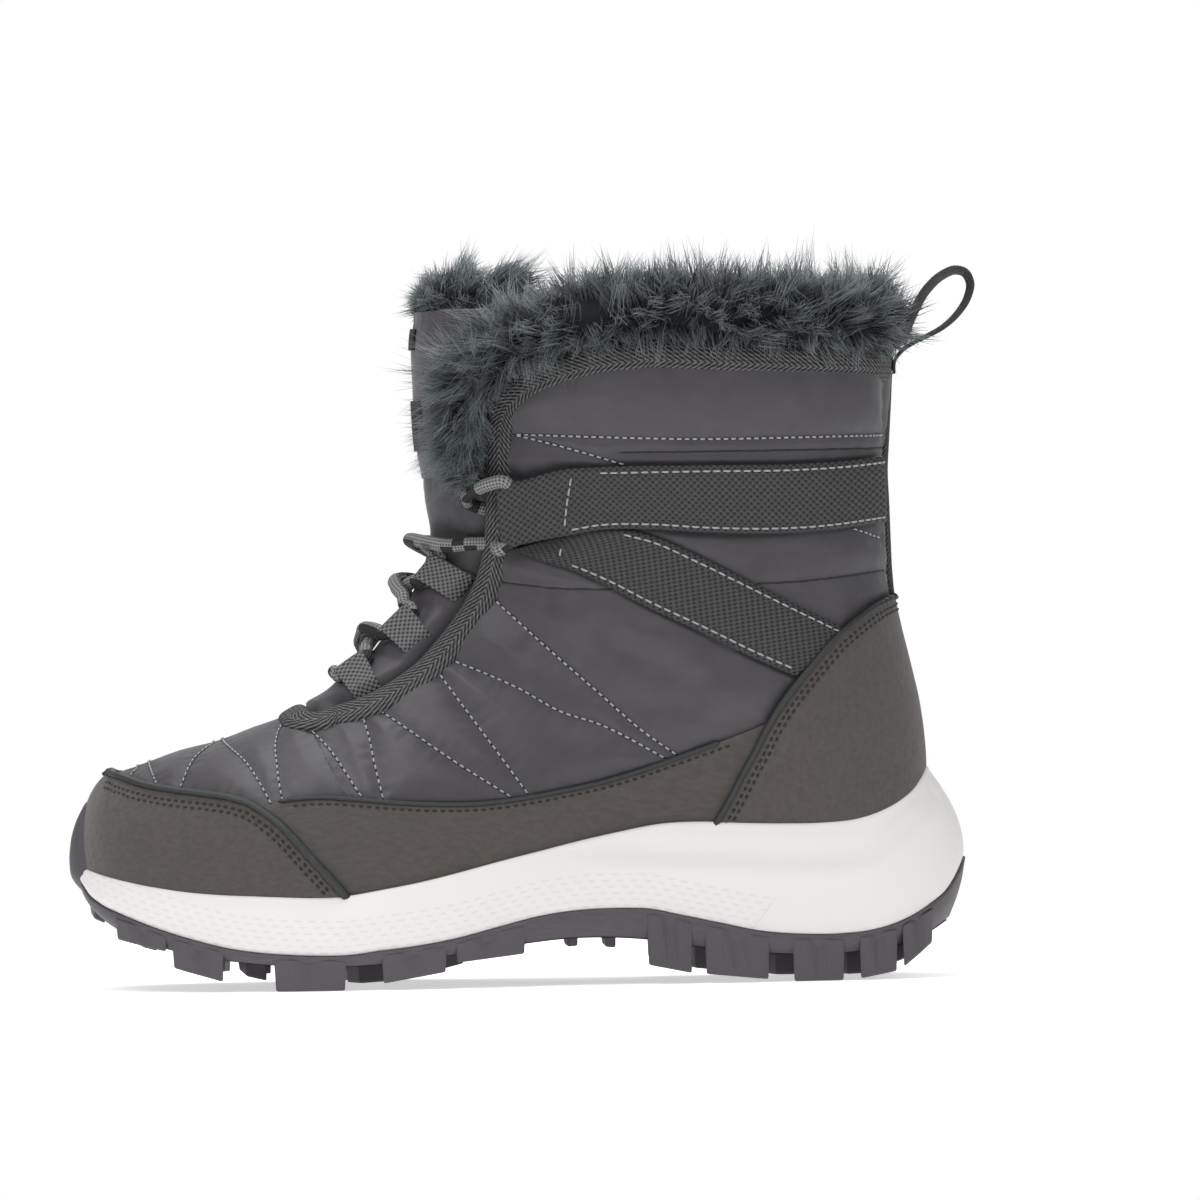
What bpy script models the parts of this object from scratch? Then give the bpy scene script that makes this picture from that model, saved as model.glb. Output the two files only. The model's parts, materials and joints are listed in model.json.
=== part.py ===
"""Left snow boot, built as it is made: a lasted hollow upper with its overlays, a cupped midsole and a lugged outsole.

Metres, +Z up, the toe points to -X and the outer side of the foot to -Y. Outlines are read from the side, as shares
of the boot's length (0 at the toe bumper, 1 at the back of the midsole) and of its collar height (0 at the floor).
"""
import math

import bmesh
import bpy
import numpy as np
from mathutils import Vector
from mathutils.bvhtree import BVHTree

BOOT_LENGTH = 0.280
COLLAR_HEIGHT = 0.196
BALL_WIDTH = 0.097
HEEL_WIDTH = 0.072
ANKLE_WIDTH = 0.080
SHAFT_WIDTH = 0.094
UPPER_WALL = 0.003
GAP = 0.0003
LATERAL, MEDIAL = -1, 1
SIDE_NAMES = {LATERAL: "lateral", MEDIAL: "medial"}

# The fan: every section of the last is a plane through one level axis above the toe, so the sections turn from
# upright at the toe to level at the collar.
FAN_ALONG, FAN_UP = 0.049, 1.061

# Front and top of the last, from the toe tip over the vamp and up the shin: share of length, share of height.
TOP_LINE = [
    (0.022, 0.240), (0.026, 0.274), (0.034, 0.305), (0.044, 0.325), (0.058, 0.339), (0.079, 0.351),
    (0.111, 0.366), (0.156, 0.384), (0.200, 0.403), (0.245, 0.427), (0.267, 0.443), (0.296, 0.466),
    (0.319, 0.497), (0.353, 0.539), (0.378, 0.585), (0.396, 0.628), (0.410, 0.672), (0.416, 0.719),
    (0.411, 0.758), (0.405, 0.801), (0.401, 0.862), (0.399, 0.941), (0.397, 1.020), (0.399, 1.067),
    (0.401, 1.115),
]
# Underside and back of the last, from the toe tip under the foot and up the heel. Its lower part lies inside the sole.
BOTTOM_LINE = [
    (0.022, 0.240), (0.023, 0.198), (0.026, 0.160), (0.034, 0.120), (0.050, 0.090), (0.082, 0.066),
    (0.126, 0.050), (0.170, 0.044), (0.259, 0.040), (0.308, 0.040), (0.392, 0.055), (0.481, 0.085),
    (0.570, 0.115), (0.658, 0.138), (0.747, 0.142), (0.836, 0.144), (0.891, 0.156), (0.921, 0.180),
    (0.938, 0.220), (0.946, 0.270), (0.948, 0.325), (0.947, 0.373), (0.943, 0.430), (0.934, 0.490),
    (0.924, 0.550), (0.918, 0.595), (0.915, 0.643), (0.914, 0.690), (0.913, 0.753), (0.912, 0.801),
    (0.914, 0.848), (0.917, 0.911), (0.919, 0.959), (0.921, 1.006), (0.924, 1.054), (0.927, 1.101),
]
# Station along the fan (0 at the toe tip, 1 at the collar), half width as a share of the size named, shift of the
# centre towards the inner side as a share of the ball width, where down the section it is widest, and how square
# the section is above and below that.
SECTIONS = [
    # station, share, of, shift, widest, square above, square below
    (0.00, 0.02, BALL_WIDTH, 0.070, 0.50, 2.0, 2.0),
    (0.06, 0.110, BALL_WIDTH, 0.068, 0.50, 2.0, 2.0),
    (0.12, 0.205, BALL_WIDTH, 0.064, 0.50, 2.1, 2.2),
    (0.25, 0.350, BALL_WIDTH, 0.048, 0.56, 2.3, 2.6),
    (0.38, 0.440, BALL_WIDTH, 0.018, 0.62, 2.3, 3.0),
    (0.48, 0.492, BALL_WIDTH, -0.010, 0.65, 2.2, 3.2),
    (0.58, 0.480, BALL_WIDTH, -0.030, 0.68, 2.0, 3.4),
    (0.68, 0.415, BALL_WIDTH, -0.032, 0.70, 1.9, 3.4),
    (0.74, 0.500, HEEL_WIDTH, -0.024, 0.68, 1.9, 3.2),
    (0.79, 0.510, HEEL_WIDTH, -0.012, 0.63, 1.9, 2.7),
    (0.84, 0.505, ANKLE_WIDTH, -0.004, 0.56, 1.9, 2.3),
    (0.90, 0.500, ANKLE_WIDTH, 0.000, 0.51, 2.0, 2.1),
    (1.00, 0.500, SHAFT_WIDTH, 0.000, 0.50, 2.1, 2.1),
    (1.04, 0.505, SHAFT_WIDTH, 0.000, 0.50, 2.1, 2.1),
]
LAST_STATION = 1.03

# Edge of the throat and of the front of the collar.
THROAT_LINE = [
    (0.265, 0.441), (0.270, 0.434), (0.279, 0.431), (0.307, 0.442), (0.329, 0.452), (0.352, 0.467),
    (0.374, 0.486), (0.397, 0.511), (0.419, 0.545), (0.436, 0.576), (0.451, 0.607), (0.462, 0.639),
    (0.469, 0.670), (0.473, 0.702), (0.476, 0.765), (0.477, 0.844), (0.479, 0.891), (0.486, 0.923),
    (0.500, 0.946), (0.519, 0.965), (0.541, 0.979), (0.569, 0.991), (0.602, 1.001), (0.657, 1.0084),
]
# Top edge of the midsole, where the overlays dip into its cup.
FEATHER_LINE = [
    (0.012, 0.203), (0.021, 0.198), (0.038, 0.189), (0.082, 0.172), (0.126, 0.160), (0.171, 0.153),
    (0.215, 0.150), (0.259, 0.147), (0.309, 0.147), (0.348, 0.156), (0.392, 0.167), (0.437, 0.182),
    (0.481, 0.198), (0.526, 0.213), (0.570, 0.228), (0.615, 0.241), (0.659, 0.252), (0.703, 0.254),
    (0.748, 0.251), (0.792, 0.249), (0.836, 0.249), (0.881, 0.256), (0.900, 0.266), (0.920, 0.282),
    (0.937, 0.305), (0.948, 0.333), (0.953, 0.349),
]
TOE_CAP_EDGE = [
    (0.046, 0.349), (0.053, 0.336), (0.068, 0.328), (0.095, 0.317), (0.128, 0.310), (0.161, 0.305),
    (0.189, 0.299), (0.211, 0.289), (0.227, 0.274), (0.244, 0.255), (0.260, 0.231), (0.276, 0.205),
    (0.293, 0.179), (0.309, 0.152), (0.325, 0.126),
]
FOXING_EDGE = [
    (0.215, 0.281), (0.239, 0.295), (0.261, 0.299), (0.294, 0.300), (0.327, 0.296), (0.372, 0.290),
    (0.416, 0.287), (0.460, 0.287), (0.505, 0.294), (0.549, 0.304), (0.593, 0.317), (0.638, 0.335),
    (0.682, 0.356), (0.727, 0.379), (0.777, 0.406),
]
COUNTER_EDGE = [
    (0.690, 0.180), (0.722, 0.255), (0.737, 0.290), (0.751, 0.327), (0.766, 0.365), (0.777, 0.396),
    (0.792, 0.432), (0.811, 0.468), (0.831, 0.502), (0.851, 0.534), (0.873, 0.561), (0.896, 0.585),
    (0.921, 0.604),
]


def smooth(knots, values, at):
    """A smooth curve through the (knot, value) rows, read at the places given and held level past its ends."""
    knots, values = np.asarray(knots, float), np.asarray(values, float)
    at = np.clip(np.asarray(at, float), knots[0], knots[-1])
    slopes = np.gradient(values, knots)
    i = np.clip(np.searchsorted(knots, at) - 1, 0, len(knots) - 2)
    step = knots[i + 1] - knots[i]
    t = (at - knots[i]) / step
    return (
        (2 * t**3 - 3 * t**2 + 1) * values[i]
        + (t**3 - 2 * t**2 + t) * step * slopes[i]
        + (3 * t**2 - 2 * t**3) * values[i + 1]
        + (t**3 - t**2) * step * slopes[i + 1]
    )


def resample(points, count):
    """The same path with this many points, evenly spaced along it."""
    points = np.asarray(points, float)
    run = np.concatenate([[0], np.cumsum(np.linalg.norm(np.diff(points, axis=0), axis=1))])
    at = np.linspace(0, run[-1], count)
    return np.stack([np.interp(at, run, points[:, k]) for k in range(points.shape[1])], axis=1)


def side_points(table):
    """A side outline in metres: (x, z) rows."""
    rows = np.array(table, float)
    return np.stack([(rows[:, 0] - 0.5) * BOOT_LENGTH, rows[:, 1] * COLLAR_HEIGHT], axis=1)


FAN_X, FAN_Z = side_points([(FAN_ALONG, FAN_UP)])[0]


def fan_angle(x, z):
    """Angle about the fan's axis, 0 straight down, growing towards the heel."""
    return np.arctan2(x - FAN_X, FAN_Z - z)


TOE_ANGLE = float(fan_angle(*side_points(TOP_LINE)[0]))
COLLAR_ANGLE = float(fan_angle(*side_points([(0.824, 0.994)])[0]))


def station_of(x, z):
    share = (fan_angle(x, z) - TOE_ANGLE) / (COLLAR_ANGLE - TOE_ANGLE)
    return np.sqrt(np.maximum(share, 0))


def angle_of(station):
    return TOE_ANGLE + (COLLAR_ANGLE - TOE_ANGLE) * np.asarray(station) ** 2


def fan_line(table):
    """A side outline as (stations, radii) about the fan's axis."""
    points = side_points(table)
    return station_of(points[:, 0], points[:, 1]), np.hypot(points[:, 0] - FAN_X, points[:, 1] - FAN_Z)


TOP = fan_line(TOP_LINE)
BOTTOM = fan_line(BOTTOM_LINE)
SECTION = np.array(SECTIONS, float)


def section_shape(station):
    """Half width, centre, widest share and the two squarenesses of the section at a station."""
    half = smooth(SECTION[:, 0], SECTION[:, 1] * SECTION[:, 2], station)
    centre = smooth(SECTION[:, 0], SECTION[:, 3], station) * BALL_WIDTH
    return half, centre, *(smooth(SECTION[:, 0], SECTION[:, k], station) for k in (4, 5, 6))


def last_point(station, down, side):
    """Point of the last at a station, `down` its section (0 at the top or front, 1 at the bottom or back)."""
    station, down = np.broadcast_arrays(np.asarray(station, float), np.asarray(down, float))
    near, far = smooth(*TOP, station), smooth(*BOTTOM, station)
    radius = near + (far - near) * down
    half, centre, widest, above, below = section_shape(station)
    high = np.clip((widest - down) / widest, 0, 1)
    low = np.clip((down - widest) / (1 - widest), 0, 1)
    reach = np.where(down < widest, (1 - high**above) ** (1 / above), (1 - low**below) ** (1 / below))
    angle = angle_of(station)
    return np.stack(
        [FAN_X + radius * np.sin(angle), centre + side * half * reach, FAN_Z - radius * np.cos(angle)], axis=-1
    )


def last_side(x, z, side):
    """The last's side at a place seen from the side."""
    station = station_of(x, z)
    near, far = smooth(*TOP, station), smooth(*BOTTOM, station)
    radius = np.hypot(x - FAN_X, z - FAN_Z)
    return last_point(station, np.clip((radius - near) / (far - near), 0, 1), side)


def edge_share(line):
    """A function that says how far down its section an edge lies at each station."""
    stations, radii = fan_line(line)
    order = np.argsort(stations)

    def share(station):
        near, far = smooth(*TOP, station), smooth(*BOTTOM, station)
        at = np.interp(station, stations[order], radii[order])
        return float(np.clip((at - near) / (far - near), 0, 1))

    return share


FEATHER = side_points(FEATHER_LINE)


def feather_height(x):
    return smooth(FEATHER[:, 0], FEATHER[:, 1], x)


def share_below_feather(station, drop):
    """How far down its section the last passes `drop` below the feather line; 1 where it never does."""
    down = np.linspace(0, 1, 400)
    points = last_point(station, down, LATERAL)
    over = points[:, 2] - feather_height(points[:, 0]) + drop
    under = np.nonzero(over < 0)[0]
    if not len(under):
        return 1.0
    i = under[0]
    if i == 0:
        return 0.0
    return float(down[i - 1] + (down[i] - down[i - 1]) * over[i - 1] / (over[i - 1] - over[i]))


def section_run(station, side, first, last, columns):
    """Evenly spaced points down one section, from one share to another."""
    turn = np.linspace(0, math.pi, 161)
    down = first + (last - first) * (1 - np.cos(turn)) / 2
    return resample(last_point(station, down, side), columns + 1)


# Meshes


def material(name, colour, roughness, metallic=0.0):
    made = bpy.data.materials.new(name)
    made.use_nodes = True
    shader = made.node_tree.nodes["Principled BSDF"]
    shader.inputs["Base Color"].default_value = (*colour, 1)
    shader.inputs["Roughness"].default_value = roughness
    shader.inputs["Metallic"].default_value = metallic
    made.diffuse_color = (*colour, 1)
    return made


def add_object(name, points, faces, finish):
    mesh = bpy.data.meshes.new(name)
    mesh.from_pydata([tuple(p) for p in points], [], [tuple(int(i) for i in f) for f in faces])
    made = bpy.data.objects.new(name, mesh)
    bpy.context.scene.collection.objects.link(made)
    mesh.materials.append(finish)
    return made


def edit(mesh_object, work):
    """Runs an edit on the object's mesh."""
    bm = bmesh.new()
    bm.from_mesh(mesh_object.data)
    bm.normal_update()
    work(bm)
    bm.to_mesh(mesh_object.data)
    bm.free()
    return mesh_object


def weld(mesh_object, distance=1e-5):
    def work(bm):
        bmesh.ops.remove_doubles(bm, verts=bm.verts, dist=distance)
        bmesh.ops.dissolve_degenerate(bm, edges=bm.edges, dist=distance)

    return edit(mesh_object, work)


def face_out(mesh_object):
    return edit(mesh_object, lambda bm: bmesh.ops.recalc_face_normals(bm, faces=bm.faces))


def triangulate(mesh_object):
    return edit(mesh_object, lambda bm: bmesh.ops.triangulate(bm, faces=bm.faces))


def bake(mesh_object):
    """Puts the object's modifiers into its mesh."""
    bpy.context.view_layer.update()
    graph = bpy.context.evaluated_depsgraph_get()
    baked = bpy.data.meshes.new_from_object(mesh_object.evaluated_get(graph))
    mesh_object.modifiers.clear()
    mesh_object.data = baked
    return mesh_object


def thicken(mesh_object, thickness, outward=True):
    wall = mesh_object.modifiers.new("wall", "SOLIDIFY")
    wall.thickness = thickness
    wall.offset = 1 if outward else -1
    return triangulate(bake(mesh_object))


def unite(body, others):
    """One solid from a body and the solids that cut into it."""
    for other in others:
        joint = body.modifiers.new("joint", "BOOLEAN")
        joint.operation = "UNION"
        joint.solver = "EXACT"
        joint.object = other
        bake(body)
        bpy.data.objects.remove(other)
    return body


def tree_of(mesh_object):
    mesh = mesh_object.data
    return BVHTree.FromPolygons([v.co for v in mesh.vertices], [tuple(p.vertices) for p in mesh.polygons])


def grid_faces(rows, columns, start=0, flip=False):
    faces = []
    for i in range(rows - 1):
        for j in range(columns - 1):
            a = start + i * columns + j
            quad = (a, a + 1, a + columns + 1, a + columns)
            faces.append(quad[::-1] if flip else quad)
    return faces


def skin(name, sheets, finish):
    """One open surface from grids of points, given as (side, grid), facing out of the boot."""
    points, faces = [], []
    for side, grid in sheets:
        rows, columns = len(grid), len(grid[0])
        faces += grid_faces(rows, columns, len(points), flip=side == MEDIAL)
        points += [p for row in grid for p in row]
    return triangulate(weld(add_object(name, points, faces, finish)))


NEAR = 0.006
ROUNDS = 12


def lay_clear(sheet, others, gap, outward=True):
    """Moves a sheet along its normals until it is clear of the solids it lies over, or under."""
    trees = [tree_of(other) for other in others]
    way = 1 if outward else -1
    marks = [v.co for other in others for v in other.data.vertices]
    for other in others:
        verts = other.data.vertices
        marks += [(verts[e.vertices[0]].co + verts[e.vertices[1]].co) / 2 for e in other.data.edges]

    def work(bm):
        for _ in range(ROUNDS):
            lack = {}
            for face in bm.faces:
                corners = [v.co for v in face.verts]
                centre = face.calc_center_median()
                places = corners + [centre] + [(c + centre) / 2 for c in corners]
                places += [(a + b) / 2 for a, b in zip(corners, corners[1:] + corners[:1])]
                short = 0.0
                for place in places:
                    for tree in trees:
                        spot, normal, _, distance = tree.find_nearest(place, NEAR)
                        if spot is not None:
                            inside = (place - spot).dot(normal) < -distance / 2
                            clear = -distance if inside else distance
                            short = max(short, gap - clear)
                for vertex in face.verts:
                    lack[vertex] = max(lack.get(vertex, 0.0), short)
            bm.faces.ensure_lookup_table()
            own = BVHTree.FromBMesh(bm)
            for mark in marks:
                spot, normal, index, distance = own.find_nearest(mark, NEAR)
                if spot is None:
                    continue
                height = (mark - spot).dot(normal) * way
                aside = math.sqrt(max(distance**2 - height**2, 0.0))
                if height > -gap and aside < gap:
                    for vertex in bm.faces[index].verts:
                        lack[vertex] = max(lack[vertex], height + gap)
            if max(lack.values()) < 1e-6:
                break
            bm.normal_update()
            for vertex, short in lack.items():
                vertex.co += vertex.normal * short * way

    return edit(sheet, work)


def panel(name, stations, first, last, columns, thickness, others, finish, sides=(LATERAL, MEDIAL)):
    """An overlay: the last between two edges, laid over the upper and given its thickness."""
    sheets = [(side, [section_run(q, side, first(q), last(q), columns) for q in stations]) for side in sides]
    made = skin(name, sheets, finish)
    lay_clear(made, others, GAP)
    return thicken(made, thickness)


def clear_scene():
    for thing in list(bpy.data.objects):
        bpy.data.objects.remove(thing)


# Upper: quilted nylon over padding and lining, its lower edge down in the midsole's cup

LASTING_DEPTH = 0.0060
OVERLAY_DEPTH = 0.0048
UPPER_COLUMNS = 8
FINEST_SHARE = 0.9999
throat_share = edge_share(THROAT_LINE)
THROAT_START = float(fan_line(THROAT_LINE)[0][0])


def lasting_share(station):
    return share_below_feather(station, LASTING_DEPTH)


def overlay_share(station):
    return share_below_feather(station, OVERLAY_DEPTH)


def upper_share(station):
    return throat_share(station) if station > THROAT_START else 0.0


def cut_stations(drop):
    """First and last station at which the last passes below the feather line by this much."""
    scan = np.linspace(0, 1, 801)
    cut = [q for q in scan if share_below_feather(q, drop) < FINEST_SHARE]
    return float(cut[0]), float(cut[-1])


TOE_CUT, HEEL_CUT = cut_stations(LASTING_DEPTH)
SCAN_STEP = 1 / 800


def upper_stations():
    toe = [0, 0.05, 0.09, 0.125, 0.16, 0.21, 0.27, 0.33, 0.40, 0.46, 0.52, THROAT_START]
    curl = [THROAT_START + step for step in (0.003, 0.008, 0.016)]
    throat = list(np.linspace(THROAT_START + 0.035, 0.93, 12))
    heel = [HEEL_CUT - step for step in (0.030, 0.014, 0.004, 0.0, -SCAN_STEP)]
    corner = [0.950, 0.965, 0.976, 0.985, 0.993, 1.0]
    rows = sorted(toe + curl + throat + heel + corner + [TOE_CUT, TOE_CUT - SCAN_STEP])
    kept = [rows[0]]
    exact = {HEEL_CUT, HEEL_CUT + SCAN_STEP, THROAT_START, 1.0}
    for q in rows[1:]:
        if q - kept[-1] > 0.006 or q in exact or q < THROAT_START + 0.02:
            kept.append(q)
    return kept


def make_upper(finish):
    rows = list(upper_stations())
    sheets = [
        (side, [section_run(q, side, upper_share(q), lasting_share(q), UPPER_COLUMNS) for q in rows])
        for side in (LATERAL, MEDIAL)
    ]
    return thicken(skin("upper", sheets, finish), UPPER_WALL, outward=False)


# Overlays: toe cap, foxing and heel counter, cut from the last between their own edges and the cup

CAP_THICKNESS = 0.0012
FOXING_THICKNESS = 0.0010
EDGE_GAP = 0.015
cap_share = edge_share(TOE_CAP_EDGE)
foxing_share = edge_share(FOXING_EDGE)
counter_share = edge_share(COUNTER_EDGE)
CAP_RIDGE = float(fan_line(TOE_CAP_EDGE)[0][0])


def cap_top(station):
    return cap_share(station) if station > CAP_RIDGE else 0.0


LEAST_DEPTH = 0.012
LEAST_FOXING = 0.02
ROW_GAP = 0.02
COUNTER_PEAK = 0.93


def make_overlays(upper, nubuck, made):
    cap_scan = np.linspace(*fan_line(TOE_CAP_EDGE)[0][[0, -1]], 400)
    cap_end = float(max(q for q in cap_scan if overlay_share(q) - cap_share(q) > LEAST_DEPTH))
    scan = np.linspace(*fan_line(FOXING_EDGE)[0][[0, -1]], 400)
    foxing_start = float(min(q for q in scan if cap_share(q) - EDGE_GAP - foxing_share(q) > LEAST_FOXING))
    cap_tail = [foxing_start] + list(np.linspace(foxing_start + ROW_GAP, cap_end, 4))
    cap_head = [0, 0.06, 0.10, CAP_RIDGE, CAP_RIDGE + 0.006, 0.17, 0.20, 0.25, 0.31, 0.37, 0.42, 0.45]
    cap_rows = cap_head + cap_tail
    made["toe_cap"] = panel(
        "toe_cap", cap_rows, cap_top, overlay_share, 5, CAP_THICKNESS, [upper], nubuck
    )

    heel_scan = np.linspace(*fan_line(COUNTER_EDGE)[0][[0, -1]], 400)
    heel_first = float(min(q for q in heel_scan if overlay_share(q) - counter_share(q) > LEAST_DEPTH))
    heel_last = float(max(q for q in heel_scan if counter_share(q) < COUNTER_PEAK))
    top, bottom = cut_stations(OVERLAY_DEPTH)
    heel_front = list(np.linspace(heel_first, bottom - 0.03, 4))
    heel_rows = sorted(
        heel_front
        + [bottom - 0.014, bottom - 0.004, bottom, bottom + SCAN_STEP]
        + list(np.linspace(bottom + 0.012, heel_last, 5))
    )
    made["heel_counter"] = panel(
        "heel_counter", heel_rows, counter_share, overlay_share, 6, CAP_THICKNESS, [upper], nubuck
    )

    def low_edge(station):
        low = overlay_share(station)
        if station < cap_end + 0.01:
            low = min(low, cap_share(station) - EDGE_GAP)
        if station > heel_scan[0]:
            low = min(low, counter_share(station) - EDGE_GAP)
        return low

    foxing_end = float(max(q for q in scan if low_edge(q) - foxing_share(q) > 0.02))
    rows = cap_tail + [cap_end + 0.012] + list(np.linspace(cap_end + 0.035, heel_first - 0.020, 6))
    rows += [q for q in heel_front if q < foxing_end - 0.004] + [foxing_end]
    for side in (LATERAL, MEDIAL):
        name = f"foxing_{SIDE_NAMES[side]}"
        made[name] = panel(
            name, sorted(rows), foxing_share, low_edge, 3, FOXING_THICKNESS, [upper], nubuck, [side]
        )


# Sole: rings round the last, from its own outline where it goes down into the midsole's cup

RING_STEPS = 28
CUP_DEPTH = 0.0074
CUP_CLEARANCE = 0.0018
CUP_SPARE = 0.0001
LIP_WIDTH = 0.0012
SOLE_PROUD = 0.0004
# Top edge of the outsole's side.
MIDSOLE_BOTTOM = [
    (0.010, 0.200), (0.016, 0.176), (0.024, 0.155), (0.037, 0.139), (0.059, 0.124), (0.081, 0.111),
    (0.114, 0.094), (0.147, 0.080), (0.181, 0.068), (0.214, 0.061), (0.247, 0.057), (0.280, 0.055),
    (0.313, 0.055), (0.347, 0.061), (0.391, 0.068), (0.435, 0.079), (0.480, 0.095), (0.524, 0.110),
    (0.558, 0.117), (0.613, 0.120), (0.646, 0.118), (0.679, 0.108), (0.723, 0.094), (0.768, 0.080),
    (0.812, 0.074), (0.856, 0.073), (0.889, 0.077), (0.923, 0.090), (0.956, 0.115), (0.979, 0.143),
    (0.990, 0.169), (0.998, 0.194),
]
# Underside of the outsole between the lugs.
OUTSOLE_BASE = [
    (0.020, 0.138), (0.036, 0.118), (0.055, 0.100), (0.090, 0.078), (0.150, 0.055), (0.200, 0.045),
    (0.250, 0.039), (0.300, 0.037), (0.360, 0.041), (0.430, 0.052), (0.500, 0.066), (0.560, 0.074),
    (0.640, 0.070), (0.700, 0.056), (0.770, 0.045), (0.840, 0.041), (0.890, 0.046), (0.930, 0.056),
    (0.955, 0.070), (0.975, 0.086),
]
# How far the midsole and outsole stand out past the lip, along the boot: shares of the heel's width.
FLARES = [
    # share of length, midsole's foot, outsole's underside drawn in
    (0.000, -0.014, 0.062),
    (0.030, -0.004, 0.056),
    (0.080, 0.020, 0.036),
    (0.160, 0.040, 0.024),
    (0.350, 0.044, 0.020),
    (0.500, 0.036, 0.022),
    (0.640, 0.044, 0.022),
    (0.800, 0.060, 0.024),
    (0.880, 0.074, 0.032),
    (0.930, 0.110, 0.060),
    (0.957, 0.158, 0.095),
]
BELLY_SHARE = 0.76


def side_height(table):
    line = side_points(table)
    return lambda x: smooth(line[:, 0], line[:, 1], x)


midsole_foot = side_height(MIDSOLE_BOTTOM)
base_height = side_height(OUTSOLE_BASE)
FLARE = np.array(FLARES, float)


def flare(x, column):
    return smooth((FLARE[:, 0] - 0.5) * BOOT_LENGTH, FLARE[:, column] * HEEL_WIDTH, x)


def ring_at(drop):
    """The last's outline at this drop below the feather line, as one loop: outer side to the heel, inner side back."""
    first, last = cut_stations(drop)
    stations = np.concatenate([[first - SCAN_STEP], np.linspace(first, last, 400), [last + SCAN_STEP]])
    shares = [share_below_feather(q, drop) for q in stations]
    shares[0], shares[-1] = 1.0, 1.0
    turn = np.linspace(0, 1, RING_STEPS + 1)
    spacing = turn / 2 + (1 - np.cos(turn * math.pi)) / 4
    sides = []
    for side in (LATERAL, MEDIAL):
        dense = resample(last_point(stations, shares, side), 801)
        sides.append(dense[np.rint(spacing * 800).astype(int)])
    return np.concatenate([sides[0], sides[1][-2:0:-1]])


def plan_normals(loop):
    run = np.roll(loop, -1, axis=0) - np.roll(loop, 1, axis=0)
    out = np.stack([run[:, 1], -run[:, 0], np.zeros(len(run))], axis=1)
    return out / np.linalg.norm(out, axis=1)[:, None]


def grown(loop, distance):
    return loop + plan_normals(loop) * np.reshape(distance, (-1, 1))


def at_height(loop, height):
    moved = loop.copy()
    moved[:, 2] = height
    return moved


def ladder(start, upward):
    """Rungs across a ring, from its outer to its inner side."""
    total = 2 * RING_STEPS
    faces = []
    for i in range(RING_STEPS):
        a, b = start + i, start + i + 1
        c, d = start + (total - i - 1), start + (total - i) % total
        faces.append([v for v in dict.fromkeys((a, b, c, d))])
    return faces if upward else [f[::-1] for f in faces]


def ring_solid(name, rings, finish):
    """A closed body from rings: the first is closed by rungs facing up, the last by rungs facing down."""
    total = 2 * RING_STEPS
    points = np.concatenate(rings)
    faces = ladder(0, True) + ladder(total * (len(rings) - 1), False)
    for k in range(len(rings) - 1):
        for i in range(total):
            a, b = k * total + i, k * total + (i + 1) % total
            faces.append((b, a, a + total, b + total))
    return face_out(add_object(name, points, faces, finish))


def cup_wall(low, high, lasted):
    """Lower and upper ring of the cup's wall, clear of the lasted upper and its overlays."""
    total = 2 * RING_STEPS
    rings = [grown(low, CUP_CLEARANCE), grown(high, CUP_CLEARANCE)]
    faces = [(i, (i + 1) % total, total + (i + 1) % total, total + i) for i in range(total)]
    wall = triangulate(add_object("cup_wall", np.concatenate(rings), faces, None))
    lay_clear(wall, lasted, GAP + CUP_SPARE)
    moved = np.array([v.co for v in wall.data.vertices])
    bpy.data.objects.remove(wall)
    return moved[:total], moved[total:]


class Sole:
    """The rings that midsole, insole and outsole share."""

    def __init__(self, lasted):
        self.cup = ring_at(CUP_DEPTH)
        self.floor, self.rim = cup_wall(self.cup, ring_at(0.0), lasted)
        lip = grown(self.rim, LIP_WIDTH)
        self.lip = at_height(lip, lip[:, 2] - GAP)
        foot = grown(self.lip, flare(self.lip[:, 0], 1))
        self.foot = at_height(foot, midsole_foot(foot[:, 0]))
        belly = self.lip + (self.foot - self.lip) * BELLY_SHARE
        self.belly = at_height(belly, (self.lip[:, 2] + self.foot[:, 2]) / 2)
        self.edge = grown(self.foot, SOLE_PROUD)
        drawn = grown(self.edge, -flare(self.lip[:, 0], 2))
        self.base = at_height(drawn, base_height(drawn[:, 0]))
        middle = self.edge + (self.base - self.edge) * 0.30
        self.side = at_height(middle, (self.edge[:, 2] + self.base[:, 2]) / 2)


def make_midsole(sole, finish):
    return ring_solid("midsole", [sole.floor, sole.rim, sole.lip, sole.belly, sole.foot], finish)


INSOLE_THICKNESS = 0.0040
INSOLE_INSET = 0.0046


def make_insole(sole, finish):
    inset = grown(sole.cup, -INSOLE_INSET)
    floor = at_height(inset, sole.cup[:, 2] + GAP)
    return ring_solid("insole", [floor + np.array([0, 0, INSOLE_THICKNESS]), floor], finish)


# Outsole: lugs down both sides, chevrons between them, ribs under the arch, a bumper up over the toe

# Lugs of either side: start and end along, height of their underside at each end, how far they reach inwards.
SIDE_LUGS = [
    (0.056, 0.112, 0.083, 0.066, 0.14),
    (0.119, 0.175, 0.038, 0.018, 0.17),
    (0.232, 0.310, 0.000, 0.000, 0.19),
    (0.351, 0.421, 0.010, 0.026, 0.19),
    (0.432, 0.508, 0.042, 0.052, 0.17),
    (0.643, 0.692, 0.030, 0.017, 0.15),
    (0.706, 0.777, 0.014, 0.004, 0.18),
    (0.803, 0.860, 0.000, 0.000, 0.19),
    (0.877, 0.919, 0.002, 0.012, 0.17),
]
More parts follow.
